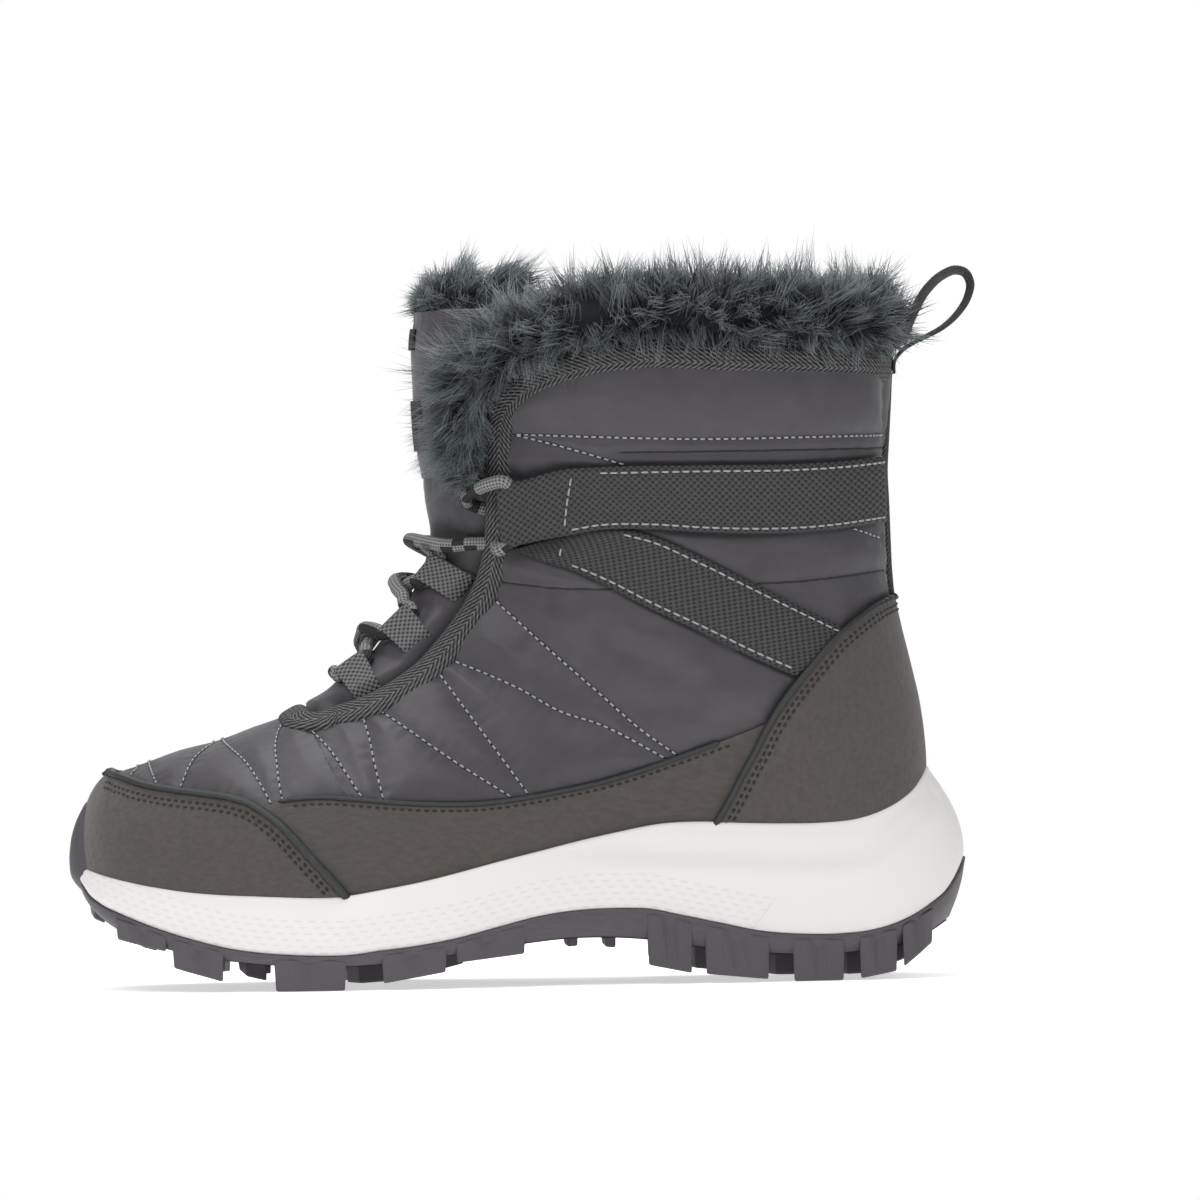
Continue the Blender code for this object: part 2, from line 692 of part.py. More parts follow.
# Blocks across the middle: start and end along, underside at each end, half width as a share of the ball's width.
MIDDLE_LUGS = [
    (0.022, 0.042, 0.118, 0.106, 0.17),
    (0.072, 0.100, 0.070, 0.060, 0.12),
    (0.138, 0.172, 0.030, 0.022, 0.19),
    (0.186, 0.222, 0.026, 0.014, 0.36),
    (0.290, 0.330, 0.004, 0.006, 0.21),
    (0.378, 0.414, 0.018, 0.030, 0.19),
    (0.548, 0.566, 0.058, 0.060, 0.30),
    (0.590, 0.608, 0.058, 0.056, 0.30),
    (0.684, 0.716, 0.018, 0.012, 0.12),
    (0.776, 0.812, 0.004, 0.004, 0.13),
    (0.930, 0.958, 0.022, 0.050, 0.17),
]
LUG_DRAFT = 0.0008
LUG_FOLD = 0.0016
LUG_ROOT = 0.0012


def prism(top, bottom, finish):
    count = len(top)
    points = list(top) + list(bottom)
    faces = [tuple(range(count)), tuple(range(2 * count - 1, count - 1, -1))]
    faces += [(i, (i + 1) % count, count + (i + 1) % count, count + i) for i in range(count)]
    return face_out(add_object("lug", points, faces, finish))


def side_lug(sole, side, row, finish):
    start, end, start_height, end_height, reach = row
    loop = sole.edge if side == LATERAL else np.roll(sole.edge[::-1], 1, axis=0)
    half_loop = loop[: RING_STEPS + 1]
    x0, x1 = (start - 0.5) * BOOT_LENGTH, (end - 0.5) * BOOT_LENGTH
    z0, z1 = start_height * COLLAR_HEIGHT, end_height * COLLAR_HEIGHT
    middle = (x0 + x1) / 2
    inward = -side

    def outer(x):
        return float(np.interp(x, half_loop[:, 0], half_loop[:, 1])) + side * 0.0003

    depth = reach * BALL_WIDTH
    xs = [x0, middle, x1, x1 - LUG_DRAFT, middle, x0 + LUG_DRAFT]
    ys = [outer(x0), outer(middle), outer(x1)]
    ys += [outer(x1) + inward * depth, outer(middle) + inward * (depth + 0.004), outer(x0) + inward * depth]
    top, bottom = [], []
    for k, (x, y) in enumerate(zip(xs, ys)):
        is_outer = k < 3
        lid = midsole_foot(x) - 0.0008 if is_outer else base_height(x) + LUG_ROOT
        top.append((x, y, float(lid)))
        drafted = x + LUG_DRAFT * np.sign(middle - x)
        fold = LUG_FOLD if k == 1 else LUG_DRAFT
        y_low = y + inward * fold if is_outer else y - inward * LUG_DRAFT
        bottom.append((drafted, y_low, z0 + (z1 - z0) * (x - x0) / (x1 - x0)))
    return prism(top, bottom, finish)


def middle_lug(sole, row, finish):
    start, end, start_height, end_height, half = row
    x0, x1 = (start - 0.5) * BOOT_LENGTH, (end - 0.5) * BOOT_LENGTH
    z0, z1 = start_height * COLLAR_HEIGHT, end_height * COLLAR_HEIGHT
    lateral = sole.base[: RING_STEPS + 1]
    medial = np.roll(sole.base[::-1], 1, axis=0)[: RING_STEPS + 1]
    mid_x = (x0 + x1) / 2
    centre = (np.interp(mid_x, lateral[:, 0], lateral[:, 1]) + np.interp(mid_x, medial[:, 0], medial[:, 1])) / 2
    wide = half * BALL_WIDTH
    bend = (x1 - x0) * 0.35
    plan = [
        (x0 + bend, centre - wide), (x0, centre), (x0 + bend, centre + wide),
        (x1, centre + wide), (x1 - bend, centre), (x1, centre - wide),
    ]
    top, bottom = [], []
    for x, y in plan:
        top.append((x, y, float(base_height(x)) + LUG_ROOT))
        drafted = x + LUG_DRAFT * np.sign(mid_x - x)
        y_low = y + LUG_DRAFT * np.sign(centre - y)
        bottom.append((drafted, y_low, z0 + (z1 - z0) * (x - x0) / (x1 - x0)))
    return prism(top, bottom, finish)


# The bumper, from its foot to its top: rise above the feather line, inner face and outer face out from the last,
# half of its run round the toe.
BUMPER = [
    (-0.0085, 0.0004, 0.0030, 0.0180),
    (-0.0040, 0.0040, 0.0062, 0.0180),
    (0.0010, 0.0040, 0.0064, 0.0175),
    (0.0060, 0.0026, 0.0060, 0.0155),
    (0.0130, 0.0021, 0.0050, 0.0130),
    (0.0185, 0.0021, 0.0036, 0.0100),
    (0.0205, 0.0021, 0.0027, 0.0085),
]
BUMPER_COLUMNS = 8


def make_bumper(lasted, finish):
    columns = BUMPER_COLUMNS + 1
    inner, outer = [], []
    for rise, near, far, half_run in BUMPER:
        stations = np.linspace(0, 0.6, 400)
        shares = np.array([share_below_feather(q, -rise) for q in stations])
        within = np.nonzero((shares > 0) & (shares < FINEST_SHARE))[0]
        stations = stations[within[0] - 1 : within[-1] + 1]
        shares = shares[within[0] - 1 : within[-1] + 1]
        lateral = last_point(stations, shares, LATERAL)
        medial = last_point(stations, shares, MEDIAL)
        loop = np.concatenate([lateral[::-1], medial[1:]])
        steps = np.linalg.norm(np.diff(loop, axis=0), axis=1)
        run = np.concatenate([[0], np.cumsum(steps)])
        run -= run[len(lateral) - 1]
        at = np.linspace(-half_run, half_run, columns)
        spots = np.stack([np.interp(at, run, loop[:, k]) for k in range(3)], axis=1)
        run_on = np.stack([np.interp(at + 0.002, run, loop[:, k]) for k in range(3)], axis=1)
        run_back = np.stack([np.interp(at - 0.002, run, loop[:, k]) for k in range(3)], axis=1)
        tangent = run_on - run_back
        out = np.stack([-tangent[:, 1], tangent[:, 0], np.zeros(columns)], axis=1)
        out /= np.linalg.norm(out, axis=1)[:, None]
        out *= np.where(out[:, :1] > 0, -1, 1)
        taper = 1 - np.clip((np.abs(at) / half_run - 0.6) / 0.4, 0, 1) ** 2 * 0.75
        inner += list(spots + out * near)
        outer += list(out * ((far - near) * taper)[:, None])
    rows = len(BUMPER)
    lining = add_object("lining", inner[columns:], grid_faces(rows - 1, columns), None)
    lay_clear(upright(triangulate(lining)), lasted, GAP + CUP_SPARE)
    inner = np.array(inner[:columns] + [v.co for v in lining.data.vertices])
    bpy.data.objects.remove(lining)
    points = list(inner) + list(inner + np.array(outer))
    faces = grid_faces(rows, columns) + grid_faces(rows, columns, rows * columns, flip=True)
    shell = rows * columns
    rim = [k for k in range(columns)] + [i * columns + columns - 1 for i in range(1, rows)]
    rim += [(rows - 1) * columns + k for k in range(columns - 2, -1, -1)]
    rim += [i * columns for i in range(rows - 2, 0, -1)]
    for a, b in zip(rim, rim[1:] + rim[:1]):
        faces.append((a, b, b + shell, a + shell))
    return face_out(add_object("bumper", points, faces, finish))


def make_outsole(sole, lasted, finish):
    seat, edge = (at_height(ring, ring[:, 2] - GAP) for ring in (sole.foot, sole.edge))
    body = ring_solid("outsole", [seat, edge, sole.side, sole.base], finish)
    lugs = [side_lug(sole, side, row, finish) for side in (LATERAL, MEDIAL) for row in SIDE_LUGS]
    lugs += [middle_lug(sole, row, finish) for row in MIDDLE_LUGS]
    return unite(body, lugs + [make_bumper(lasted, finish)])


# The last as a surface to lay ribbons on

LAST_GRID = 150


class LastSurface:
    """Nearest place on the last, and points at a height over it."""

    def __init__(self):
        points, faces = [], []
        downs = (1 - np.cos(np.linspace(0, math.pi, 61))) / 2
        for side in (LATERAL, MEDIAL):
            start = len(points)
            for q in np.linspace(0.02, LAST_STATION, LAST_GRID):
                points += [tuple(p) for p in last_point(q, downs, side)]
            faces += grid_faces(LAST_GRID, 61, start, flip=side == MEDIAL)
        self.tree = BVHTree.FromPolygons(points, faces)

    def over(self, point, lift):
        spot, normal, _, _ = self.tree.find_nearest(Vector(point))
        return np.array(spot + normal * lift), np.array(normal)


def slab(name, rows, finish, closed=False):
    """A solid from rows of points, each row the outline of the solid's section there."""
    count, around = len(rows), len(rows[0])
    points = [p for row in rows for p in row]
    faces = []
    for i in range(count if closed else count - 1):
        for j in range(around):
            a, b = i * around + j, i * around + (j + 1) % around
            c, d = (i + 1) % count * around + (j + 1) % around, (i + 1) % count * around + j
            faces.append((a, b, c, d))
    if not closed:
        faces.append(tuple(range(around)))
        faces.append(tuple(range((count - 1) * around, count * around))[::-1])
    return face_out(add_object(name, points, faces, finish))


def band(side, upper_edge, lower_edge, rows, columns, trim=1.0):
    """A grid on the last between two side outlines that run from the front to the back."""
    downs = []
    for line in (upper_edge, lower_edge):
        stations, radii = fan_line(line)
        near, far = smooth(*TOP, stations), smooth(*BOTTOM, stations)
        downs.append((np.clip((radii - near) / (far - near), 0, 1), stations))
    edges = []
    for down, station in downs:
        dense = np.linspace(down[0], min(down[-1], trim), 121)
        edges.append(np.stack([np.interp(dense, down, station), dense], axis=1))
    grid = []
    for j in range(columns + 1):
        blend = edges[0] + (edges[1] - edges[0]) * j / columns
        grid.append(resample(last_point(blend[:, 0], blend[:, 1], side), rows + 1))
    return [[grid[j][i] for j in range(columns + 1)] for i in range(rows + 1)]


def laid(name, grids, thickness, others, finish, gap=GAP):
    made = skin(name, grids, finish)
    upright(made)
    lay_clear(made, others, gap)
    return thicken(made, thickness)


def upright(sheet):
    """Turns the sheet's faces so that they look out of the boot."""

    def work(bm):
        bmesh.ops.recalc_face_normals(bm, faces=bm.faces)
        total = 0.0
        for face in bm.faces:
            middle = face.calc_center_median()
            spot, normal, _, _ = LAST.tree.find_nearest(middle)
            total += face.normal.dot(normal) * face.calc_area()
        if total < 0:
            bmesh.ops.reverse_faces(bm, faces=bm.faces)

    return edit(sheet, work)


LAST = LastSurface()


# Binding: braid along the throat and the collar, all the way round

BINDING_WIDTH = 0.0070
BINDING_THICKNESS = 0.0009
BINDING_ROWS = 23


def rim_path():
    """The opening's edge on the outer side, from the middle of the vamp to the back of the collar."""
    stations = np.concatenate([np.linspace(THROAT_START, 0.93, 60), np.linspace(0.935, 1.0, 60)])
    throat = [last_point(q, upper_share(q), LATERAL) for q in stations]
    downs = np.linspace(throat_share(1.0), 1, 60)[1:]
    collar = [last_point(1.0, d, LATERAL) for d in downs]
    return np.array(throat + collar)


def make_binding(upper, finish):
    path = rim_path()
    fine = resample(path, 400)
    spacing = np.linspace(0, 1, BINDING_ROWS + 1)
    picks = np.rint(spacing * 399).astype(int)
    half = []
    for i in picks:
        run = fine[min(i + 2, 399)] - fine[max(i - 2, 0)]
        if i == 0:
            run = np.array([0.0, -1.0, 0.0])
        if i == 399:
            run = np.array([0.0, 1.0, 0.0])
        run /= np.linalg.norm(run)
        spot, normal = LAST.over(fine[i], 0.0)
        across = np.cross(run, normal)
        across /= np.linalg.norm(across)
        if i in (0, 399):
            across[1] = 0.0
        row = []
        for share in (0.04, 0.5, 1.0):
            place, _ = LAST.over(fine[i] + across * BINDING_WIDTH * share, 0.0)
            if i in (0, 399):
                place[1] = fine[i][1]
            row.append(place)
        half.append(row)
    mirrored = []
    for row in half[-2:0:-1]:
        other = []
        for p in row:
            station = float(station_of(p[0], p[2]))
            centre = float(section_shape(station)[1])
            other.append(np.array([p[0], 2 * centre - p[1], p[2]]))
        mirrored.append(other)
    rows_all = half + mirrored
    count = len(rows_all)
    points = [p for row in rows_all for p in row]
    faces = []
    for i in range(count):
        for j in range(2):
            a = i * 3 + j
            b = (i + 1) % count * 3 + j
            faces.append((a, a + 1, b + 1, b))
    sheet = upright(triangulate(add_object("edge_binding", points, faces, finish)))
    lay_clear(sheet, [upper], GAP)
    return thicken(sheet, BINDING_THICKNESS)


# Webbing: a level strap and a slanted stay on either side, a tape up the back

STRAP_TOP = [(0.508, 0.797), (0.539, 0.807), (0.600, 0.817), (0.710, 0.817), (0.821, 0.816), (0.930, 0.826)]
STRAP_BOTTOM = [(0.508, 0.697), (0.543, 0.704), (0.598, 0.716), (0.709, 0.710), (0.798, 0.706), (0.930, 0.722)]
STAY_TOP = [(0.640, 0.703), (0.665, 0.692), (0.709, 0.662), (0.763, 0.622), (0.818, 0.581), (0.852, 0.555)]
STAY_BOTTOM = [(0.512, 0.687), (0.531, 0.672), (0.565, 0.656), (0.652, 0.592), (0.707, 0.553), (0.796, 0.491)]
WEBBING_THICKNESS = 0.0012
STRAP_TRIM = 0.999
TAPE_HALF_WIDTH = 0.0025
TAPE_THICKNESS = 0.0012
TAPE_START = 0.905
TAPE_END = 0.984


def side_grid(side, first_edge, second_edge, rows, columns):
    """A grid on the last's side between two side outlines, for pieces well away from its middle line."""
    one, two = resample(side_points(first_edge), rows + 1), resample(side_points(second_edge), rows + 1)
    grid = []
    for a, b in zip(one, two):
        across = [a + (b - a) * j / columns for j in range(columns + 1)]
        grid.append([last_side(x, z, side) for x, z in across])
    return grid


def make_straps(upper, binding, counter, finish, made):
    for side in (LATERAL, MEDIAL):
        label = SIDE_NAMES[side]
        under = [upper, binding, counter]
        grid = band(side, STRAP_TOP, STRAP_BOTTOM, 13, 2, STRAP_TRIM)
        made[f"strap_{label}"] = laid(f"strap_{label}", [(side, grid)], WEBBING_THICKNESS, under, finish)
        grid = side_grid(side, STAY_TOP, STAY_BOTTOM, 8, 2)
        made[f"stay_{label}"] = laid(f"stay_{label}", [(side, grid)], WEBBING_THICKNESS, under, finish)
    rows = []
    for q in np.linspace(TAPE_START, TAPE_END, 9):
        middle = last_point(q, 1.0, LATERAL)
        places = [middle + np.array([0, y, 0]) for y in (-TAPE_HALF_WIDTH, 0, TAPE_HALF_WIDTH)]
        rows.append([LAST.over(place, 0.0)[0] for place in places])
    made["back_seam"] = laid("back_seam", [(LATERAL, rows)], TAPE_THICKNESS, [upper, binding], finish)


# Tongue: padded, its crown is the front of the boot, its edges run in under the upper

TONGUE_EDGE = [
    (0.232, 0.398), (0.262, 0.395), (0.310, 0.405), (0.360, 0.430), (0.405, 0.467), (0.440, 0.510),
    (0.468, 0.565), (0.488, 0.620), (0.498, 0.680), (0.502, 0.760), (0.503, 0.840), (0.502, 0.920),
    (0.498, 1.000), (0.490, 1.045), (0.476, 1.0665),
]
TONGUE_THICKNESS = 0.0045
TONGUE_ROWS = 17
TONGUE_COLUMNS = 5
TONGUE_SUNK = UPPER_WALL + 0.0008
TONGUE_GAP = 0.0004
THROAT_MARGIN = 0.025
PATCH_FIRST, PATCH_LAST = 0.915, 0.972
PATCH_HALF_RUN = 0.012
PATCH_THICKNESS = 0.0006
COLLAR_STATION = 0.95
UNDER_RIM = 0.04
RIM_RAMP = 0.012
LEAST_CROWN = 0.02


def make_tongue(upper, finish):
    edge = edge_share(TONGUE_EDGE)
    stations, _ = fan_line(TONGUE_EDGE)
    rows = np.linspace(float(stations[0]), float(stations[-1]), TONGUE_ROWS)
    grid = []
    for q in rows:
        rim = min(upper_share(min(q, COLLAR_STATION)), edge(q) - UNDER_RIM)
        crown_end = rim - THROAT_MARGIN
        open_here = q > THROAT_START + RIM_RAMP and crown_end > LEAST_CROWN
        halves = []
        for side in (LATERAL, MEDIAL):
            if open_here:
                crown = list(section_run(q, side, 0.0, crown_end, TONGUE_COLUMNS - 2))
                under = [last_point(q, rim, side), last_point(q, edge(q), side)]
            else:
                crown, under = [], list(section_run(q, side, 0.0, edge(q), TONGUE_COLUMNS))
            row = crown
            for p in under:
                spot, normal = LAST.over(p, 0.0)
                row.append(spot - normal * TONGUE_SUNK)
            halves.append(row)
        grid.append(halves[0][::-1] + halves[1][1:])
    made = upright(skin("tongue", [(LATERAL, grid)], finish))
    lay_clear(made, [upper], TONGUE_GAP, outward=False)
    return thicken(made, TONGUE_THICKNESS, outward=False)


def make_patch(tongue, finish):
    rows = []
    for q in np.linspace(PATCH_FIRST, PATCH_LAST, 3):
        crown = last_point(q, 0.0, LATERAL)
        offsets = np.linspace(-PATCH_HALF_RUN, PATCH_HALF_RUN, 5)
        rows.append([LAST.over(crown + np.array([0.004, y, 0]), 0.0)[0] for y in offsets])
    return laid("tongue_label", [(LATERAL, rows)], PATCH_THICKNESS, [tongue], finish)


# Lace: a round cord through three webbing loops on either side, crossing over the tongue

# Each loop as seen from the side: its ends at the throat, then at its fold, the lower one first.
LACE_LOOPS = [
    [(0.320, 0.465), (0.350, 0.483), (0.311, 0.484), (0.343, 0.510)],
    [(0.380, 0.526), (0.407, 0.560), (0.366, 0.546), (0.395, 0.588)],
    [(0.429, 0.612), (0.451, 0.652), (0.407, 0.632), (0.429, 0.677)],
]
EYELET = (0.492, 0.690)
LOOP_THICKNESS = 0.0016
LACE_RADIUS = 0.0021
LACE_LIFT = 0.0027
BRAID_LIFT = LACE_RADIUS + BINDING_THICKNESS + 3 * GAP
LACE_STEPS = 7
LACE_SIDES = 6
CROWN_BULGE = 0.008


def on_side(place, side, lift=0.0):
    x, z = side_points([place])[0]
    return LAST.over(last_side(x, z, side), lift)


def make_lace_loops(under, finish, made):
    for number, (low, high, fold_low, fold_high) in enumerate(LACE_LOOPS, 1):
        for side in (LATERAL, MEDIAL):
            corners = [on_side(place, side)[0] for place in (low, high, fold_low, fold_high)]
            grid = []
            for a in np.linspace(0, 1, 4):
                root = corners[0] + (corners[1] - corners[0]) * a
                fold = corners[2] + (corners[3] - corners[2]) * a
                grid.append([LAST.over(root + (fold - root) * b, 0.0004)[0] for b in np.linspace(0, 1, 4)])
            name = f"lace_loop_{SIDE_NAMES[side]}_{number}"
            made[name] = laid(name, [(side, grid)], LOOP_THICKNESS, under, finish)


def lace_end(place, side, lift=LACE_LIFT):
    """Where a cord leaves a loop's fold: clear of the fold, towards the crown, and how high it lies there."""
    spot, _ = on_side(place, side)
    crown = last_point(station_of(spot[0], spot[2]), 0.0, side)
    toward = crown - spot
    toward /= np.linalg.norm(toward)
    return LAST.over(spot + toward * (LACE_RADIUS + 2 * GAP), lift)[0], lift


def lace_run(first, last, finish):
    """A cord over the tongue from one end to the other."""
    (start, low), (end, high) = first, last
    middle = (start + end) / 2
    station = station_of(middle[0], middle[2])
    crown, normal = LAST.over(last_point(station, 0.0, LATERAL), 0.0)
    control = crown + normal * CROWN_BULGE
    along = np.linspace(0, 1, LACE_STEPS)
    curve = [(1 - t) ** 2 * start + 2 * t * (1 - t) * control + t**2 * end for t in along]
    lifts = np.maximum(np.interp(along, (0, 1), (low, high)), LACE_LIFT)
    centres = resample([LAST.over(p, lift)[0] for p, lift in zip(curve, lifts)], LACE_STEPS)
    rows = []
    for i, centre in enumerate(centres):
        run = centres[min(i + 1, LACE_STEPS - 1)] - centres[max(i - 1, 0)]
        run /= np.linalg.norm(run)
        _, normal = LAST.over(centre, 0.0)
        across = np.cross(run, normal)
        across /= np.linalg.norm(across)
        out = np.cross(across, run)
        turns = [2 * math.pi * k / LACE_SIDES for k in range(LACE_SIDES)]
        rows.append([centre + LACE_RADIUS * (math.cos(a) * out + math.sin(a) * across) for a in turns])
    return slab("cord", rows, finish)


def make_laces(finish, made):
    bar = lace_run(lace_end(LACE_LOOPS[0][2], LATERAL), lace_end(LACE_LOOPS[0][2], MEDIAL), finish)
    bar.name = "lace_bar"
    made["lace_bar"] = bar
    uppers = [loop[3] for loop in LACE_LOOPS]
    lowers = [(loop[2], LACE_LIFT) for loop in LACE_LOOPS[1:]] + [(EYELET, BRAID_LIFT)]
    for number, (low, (high, lift)) in enumerate(zip(uppers, lowers), 1):
        one = lace_run(lace_end(low, LATERAL), lace_end(high, MEDIAL, lift), finish)
        two = lace_run(lace_end(low, MEDIAL), lace_end(high, LATERAL, lift), finish)
        one.name = f"lace_cross_{number}"
        made[one.name] = unite(one, [two])


# Pull loop: webbing that stands up from the back of the collar

LOOP_LINE = [
    (0.9285, 0.955), (0.9295, 0.975), (0.936, 0.994), (0.948, 1.008), (0.966, 1.019), (0.984, 1.031),
    (1.002, 1.052), (1.013, 1.075), (1.016, 1.099), (1.010, 1.115), (1.001, 1.120), (0.988, 1.115),
    (0.974, 1.103), (0.962, 1.088),
]
LOOP_HALF_WIDTH = 0.0055
LOOP_WEB = 0.0012


def make_pull_loop(finish):
    line = resample(side_points(LOOP_LINE), 20)
    y = float(last_point(1.0, 1.0, LATERAL)[1])
    rows = []
    for i, (x, z) in enumerate(line):
        run = line[min(i + 1, len(line) - 1)] - line[max(i - 1, 0)]
        run /= np.linalg.norm(run)
        side = np.array([run[1], -run[0]]) * LOOP_WEB / 2
        rows.append([
            (x + side[0], y - LOOP_HALF_WIDTH, z + side[1]), (x + side[0], y + LOOP_HALF_WIDTH, z + side[1]),
            (x - side[0], y + LOOP_HALF_WIDTH, z - side[1]), (x - side[0], y - LOOP_HALF_WIDTH, z - side[1]),
        ])
    return slab("pull_loop", rows, finish)


# Fur: a deep roll in the collar and down both sides of the throat, and a short one behind the tongue's top

# Section of the roll, out from the last and on past the edge of the upper, in shares of the fur's height: within
# the collar, and beside the tongue.
FUR_HEIGHT = 0.0225
COLLAR_SECTION = [
    (-0.20, 0.040), (-0.10, 0.055), (0.02, 0.070), (0.14, 0.10), (0.28, 0.28), (0.30, 0.56), (0.16, 0.86),
    (-0.12, 1.00), (-0.44, 0.88), (-0.62, 0.52), (-0.60, 0.16), (-0.40, 0.030),
]
THROAT_SECTION = [
    (0.115, 0.13), (0.120, 0.135), (0.130, 0.14), (0.17, 0.15), (0.32, 0.17), (0.44, 0.29), (0.44, 0.44),
    (0.34, 0.60), (0.22, 0.68), (0.13, 0.62), (0.115, 0.46), (0.112, 0.28),
]
FUR_FIRST = (0.476, 0.800)
FUR_TURN_START, FUR_TURN_END = 0.515, 0.575
FUR_ROWS = 23
LOCK_RISE = 0.0045
LOCK_LEAN = 0.0020
LOOP_ROOM = 0.0085
LOOP_ROOM_SHARE = 0.06
SEED = 7


def make_fur(finish):
    path = rim_path()
    first = side_points([FUR_FIRST])[0]
    start = int(np.argmin(np.hypot(path[:, 0] - first[0], path[:, 2] - first[1])))
    fine = resample(path[start:], 600)
    picks = np.rint(np.linspace(0, 1, FUR_ROWS) * 599).astype(int)
    chance = np.random.default_rng(SEED)
    half = []
    for number, i in enumerate(picks):
        run = fine[min(i + 8, 599)] - fine[max(i - 8, 0)]
        if i == 599:
            run = np.array([0.0, 1.0, 0.0])
        run /= np.linalg.norm(run)
        _, normal = LAST.over(fine[i], 0.0)
        if i == 599:
            normal[1] = 0.0
            normal /= np.linalg.norm(normal)
        past = -np.cross(run, normal)
        past /= np.linalg.norm(past)
        share = fine[i][0] / BOOT_LENGTH + 0.5
        inside = float(np.clip((share - FUR_TURN_START) / (FUR_TURN_END - FUR_TURN_START), 0, 1))
        end = math.sin(min(number / 2.0, 1.0) * math.pi / 2) * 0.6 + 0.4
        near_loop = abs(fine[i][1] - fine[-1][1]) < LOOP_ROOM and inside == 1
        row = []
        for k, ((n0, e0), (n1, e1)) in enumerate(zip(THROAT_SECTION, COLLAR_SECTION)):
            out = (n0 + (n1 - n0) * inside) * FUR_HEIGHT
            up = (e0 + (e1 - e0) * inside) * FUR_HEIGHT * (end if k > 3 else 1)
            free = 4 <= k <= 9 if inside > 0.5 else 5 <= k <= 9
            if near_loop and 2 <= k <= 5:
                out = min(out, LOOP_ROOM_SHARE * FUR_HEIGHT)
                free = False
            if near_loop and k == 6:
                free = False
            spot = fine[i] + normal * out + past * up
            if free:
                lock = LOCK_RISE * ((k + number) % 2) + LOCK_RISE * 0.4 * chance.random()
                middle = np.array([0.55 if inside < 0.5 else -0.10, 0.35 if inside < 0.5 else 0.45]) * FUR_HEIGHT
                way = normal * (out - middle[0]) + past * (up - middle[1])
                way /= np.linalg.norm(way)
                spot = spot + way * lock * end + run * LOCK_LEAN * (chance.random() - 0.5)
            row.append(spot)
        half.append(row)
    middle_y = fine[-1][1]
    for k, p in enumerate(half[-1]):
        half[-1][k] = np.array([p[0], middle_y, p[2]])
    other = []
    for row in half[-2::-1]:
        mirrored = []
        for p in row:
            centre = float(section_shape(np.clip(station_of(p[0], p[2]), 0, LAST_STATION))[1])
            mirrored.append(np.array([p[0], 2 * centre - p[1], p[2]]))
        other.append(mirrored)
    return slab("fur_collar", half + other, finish)


TONGUE_FUR_HALF_RUN = 0.017
TONGUE_FUR_SECTION = [
    (-0.24, -0.40), (-0.24, 0.03), (-0.02, 0.06), (0.10, 0.30), (-0.06, 0.66), (-0.36, 0.76), (-0.62, 0.50),
    (-0.64, 0.0), (-0.50, -0.34),
]
TONGUE_FUR_ROWS = 9


def make_tongue_fur(tongue_top, finish):
    chance = np.random.default_rng(SEED + 1)
    rows = []
    for number, y in enumerate(np.linspace(-TONGUE_FUR_HALF_RUN, TONGUE_FUR_HALF_RUN, TONGUE_FUR_ROWS)):
        crown = last_point(tongue_top, 0.0, LATERAL)
        spot, normal = LAST.over(crown + np.array([0.004, y, 0]), 0.0)
        normal[2] = 0.0
        normal /= np.linalg.norm(normal)
        end = 0.75 if number in (0, TONGUE_FUR_ROWS - 1) else 1.0
        row = []
        for k, (n, e) in enumerate(TONGUE_FUR_SECTION):
            out, up = n * FUR_HEIGHT, e * FUR_HEIGHT
            if 3 <= k <= 6:
                up = up * end + LOCK_RISE * ((k + number) % 2) * (0.6 + 0.4 * chance.random())
            row.append(spot + normal * out + np.array([0, 0, up]))
        rows.append(row)
    return slab("fur_tongue", rows, finish)


def centre_on_floor(things):
    """Moves the boot so that the middle of its outline lies over the origin and its lugs touch the floor."""
    corners = np.array([v.co for thing in things for v in thing.data.vertices])
    low, high = corners.min(axis=0), corners.max(axis=0)
    shift = Vector((-(low[0] + high[0]) / 2, -(low[1] + high[1]) / 2, -low[2]))
    for thing in things:
        for vertex in thing.data.vertices:
            vertex.co += shift


def main():
    clear_scene()
    made = {}
    nylon = material("nylon", (0.12, 0.11, 0.125), 0.55)
    nubuck = material("nubuck", (0.13, 0.12, 0.11), 0.8)
    foam = material("foam", (0.8, 0.8, 0.79), 0.6)
    rubber = material("rubber", (0.10, 0.09, 0.11), 0.6)
    pile = material("pile", (0.10, 0.12, 0.13), 0.9)
    webbing = material("webbing", (0.09, 0.09, 0.10), 0.8)
    label = material("label", (0.03, 0.03, 0.035), 0.7)
    cord = material("cord", (0.16, 0.16, 0.17), 0.8)
    fur = material("fur", (0.07, 0.09, 0.10), 0.95)
    made["upper"] = make_upper(nylon)
    make_overlays(made["upper"], nubuck, made)
    made["edge_binding"] = make_binding(made["upper"], webbing)
    make_straps(made["upper"], made["edge_binding"], made["heel_counter"], webbing, made)
    made["tongue"] = make_tongue(made["upper"], nylon)
    made["tongue_label"] = make_patch(made["tongue"], label)
    make_lace_loops([made["tongue"], made["upper"], made["edge_binding"]], webbing, made)
    make_laces(cord, made)
    made["pull_loop"] = make_pull_loop(webbing)
    made["fur_collar"] = make_fur(fur)
    made["fur_tongue"] = make_tongue_fur(float(fan_line(TONGUE_EDGE)[0][-1]), fur)
    overlays = [thing for name, thing in made.items() if name.startswith(("toe", "heel", "foxing"))]
    sole = Sole([made["upper"]] + overlays)
    made["midsole"] = make_midsole(sole, foam)
    made["insole"] = make_insole(sole, pile)
    made["outsole"] = make_outsole(sole, [made["midsole"], made["toe_cap"]], rubber)
    centre_on_floor(made.values())
    for thing in made.values():
        thing.data.shade_smooth()
        thing.data.set_sharp_from_angle(angle=math.radians(35))


main()
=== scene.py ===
import json
import math

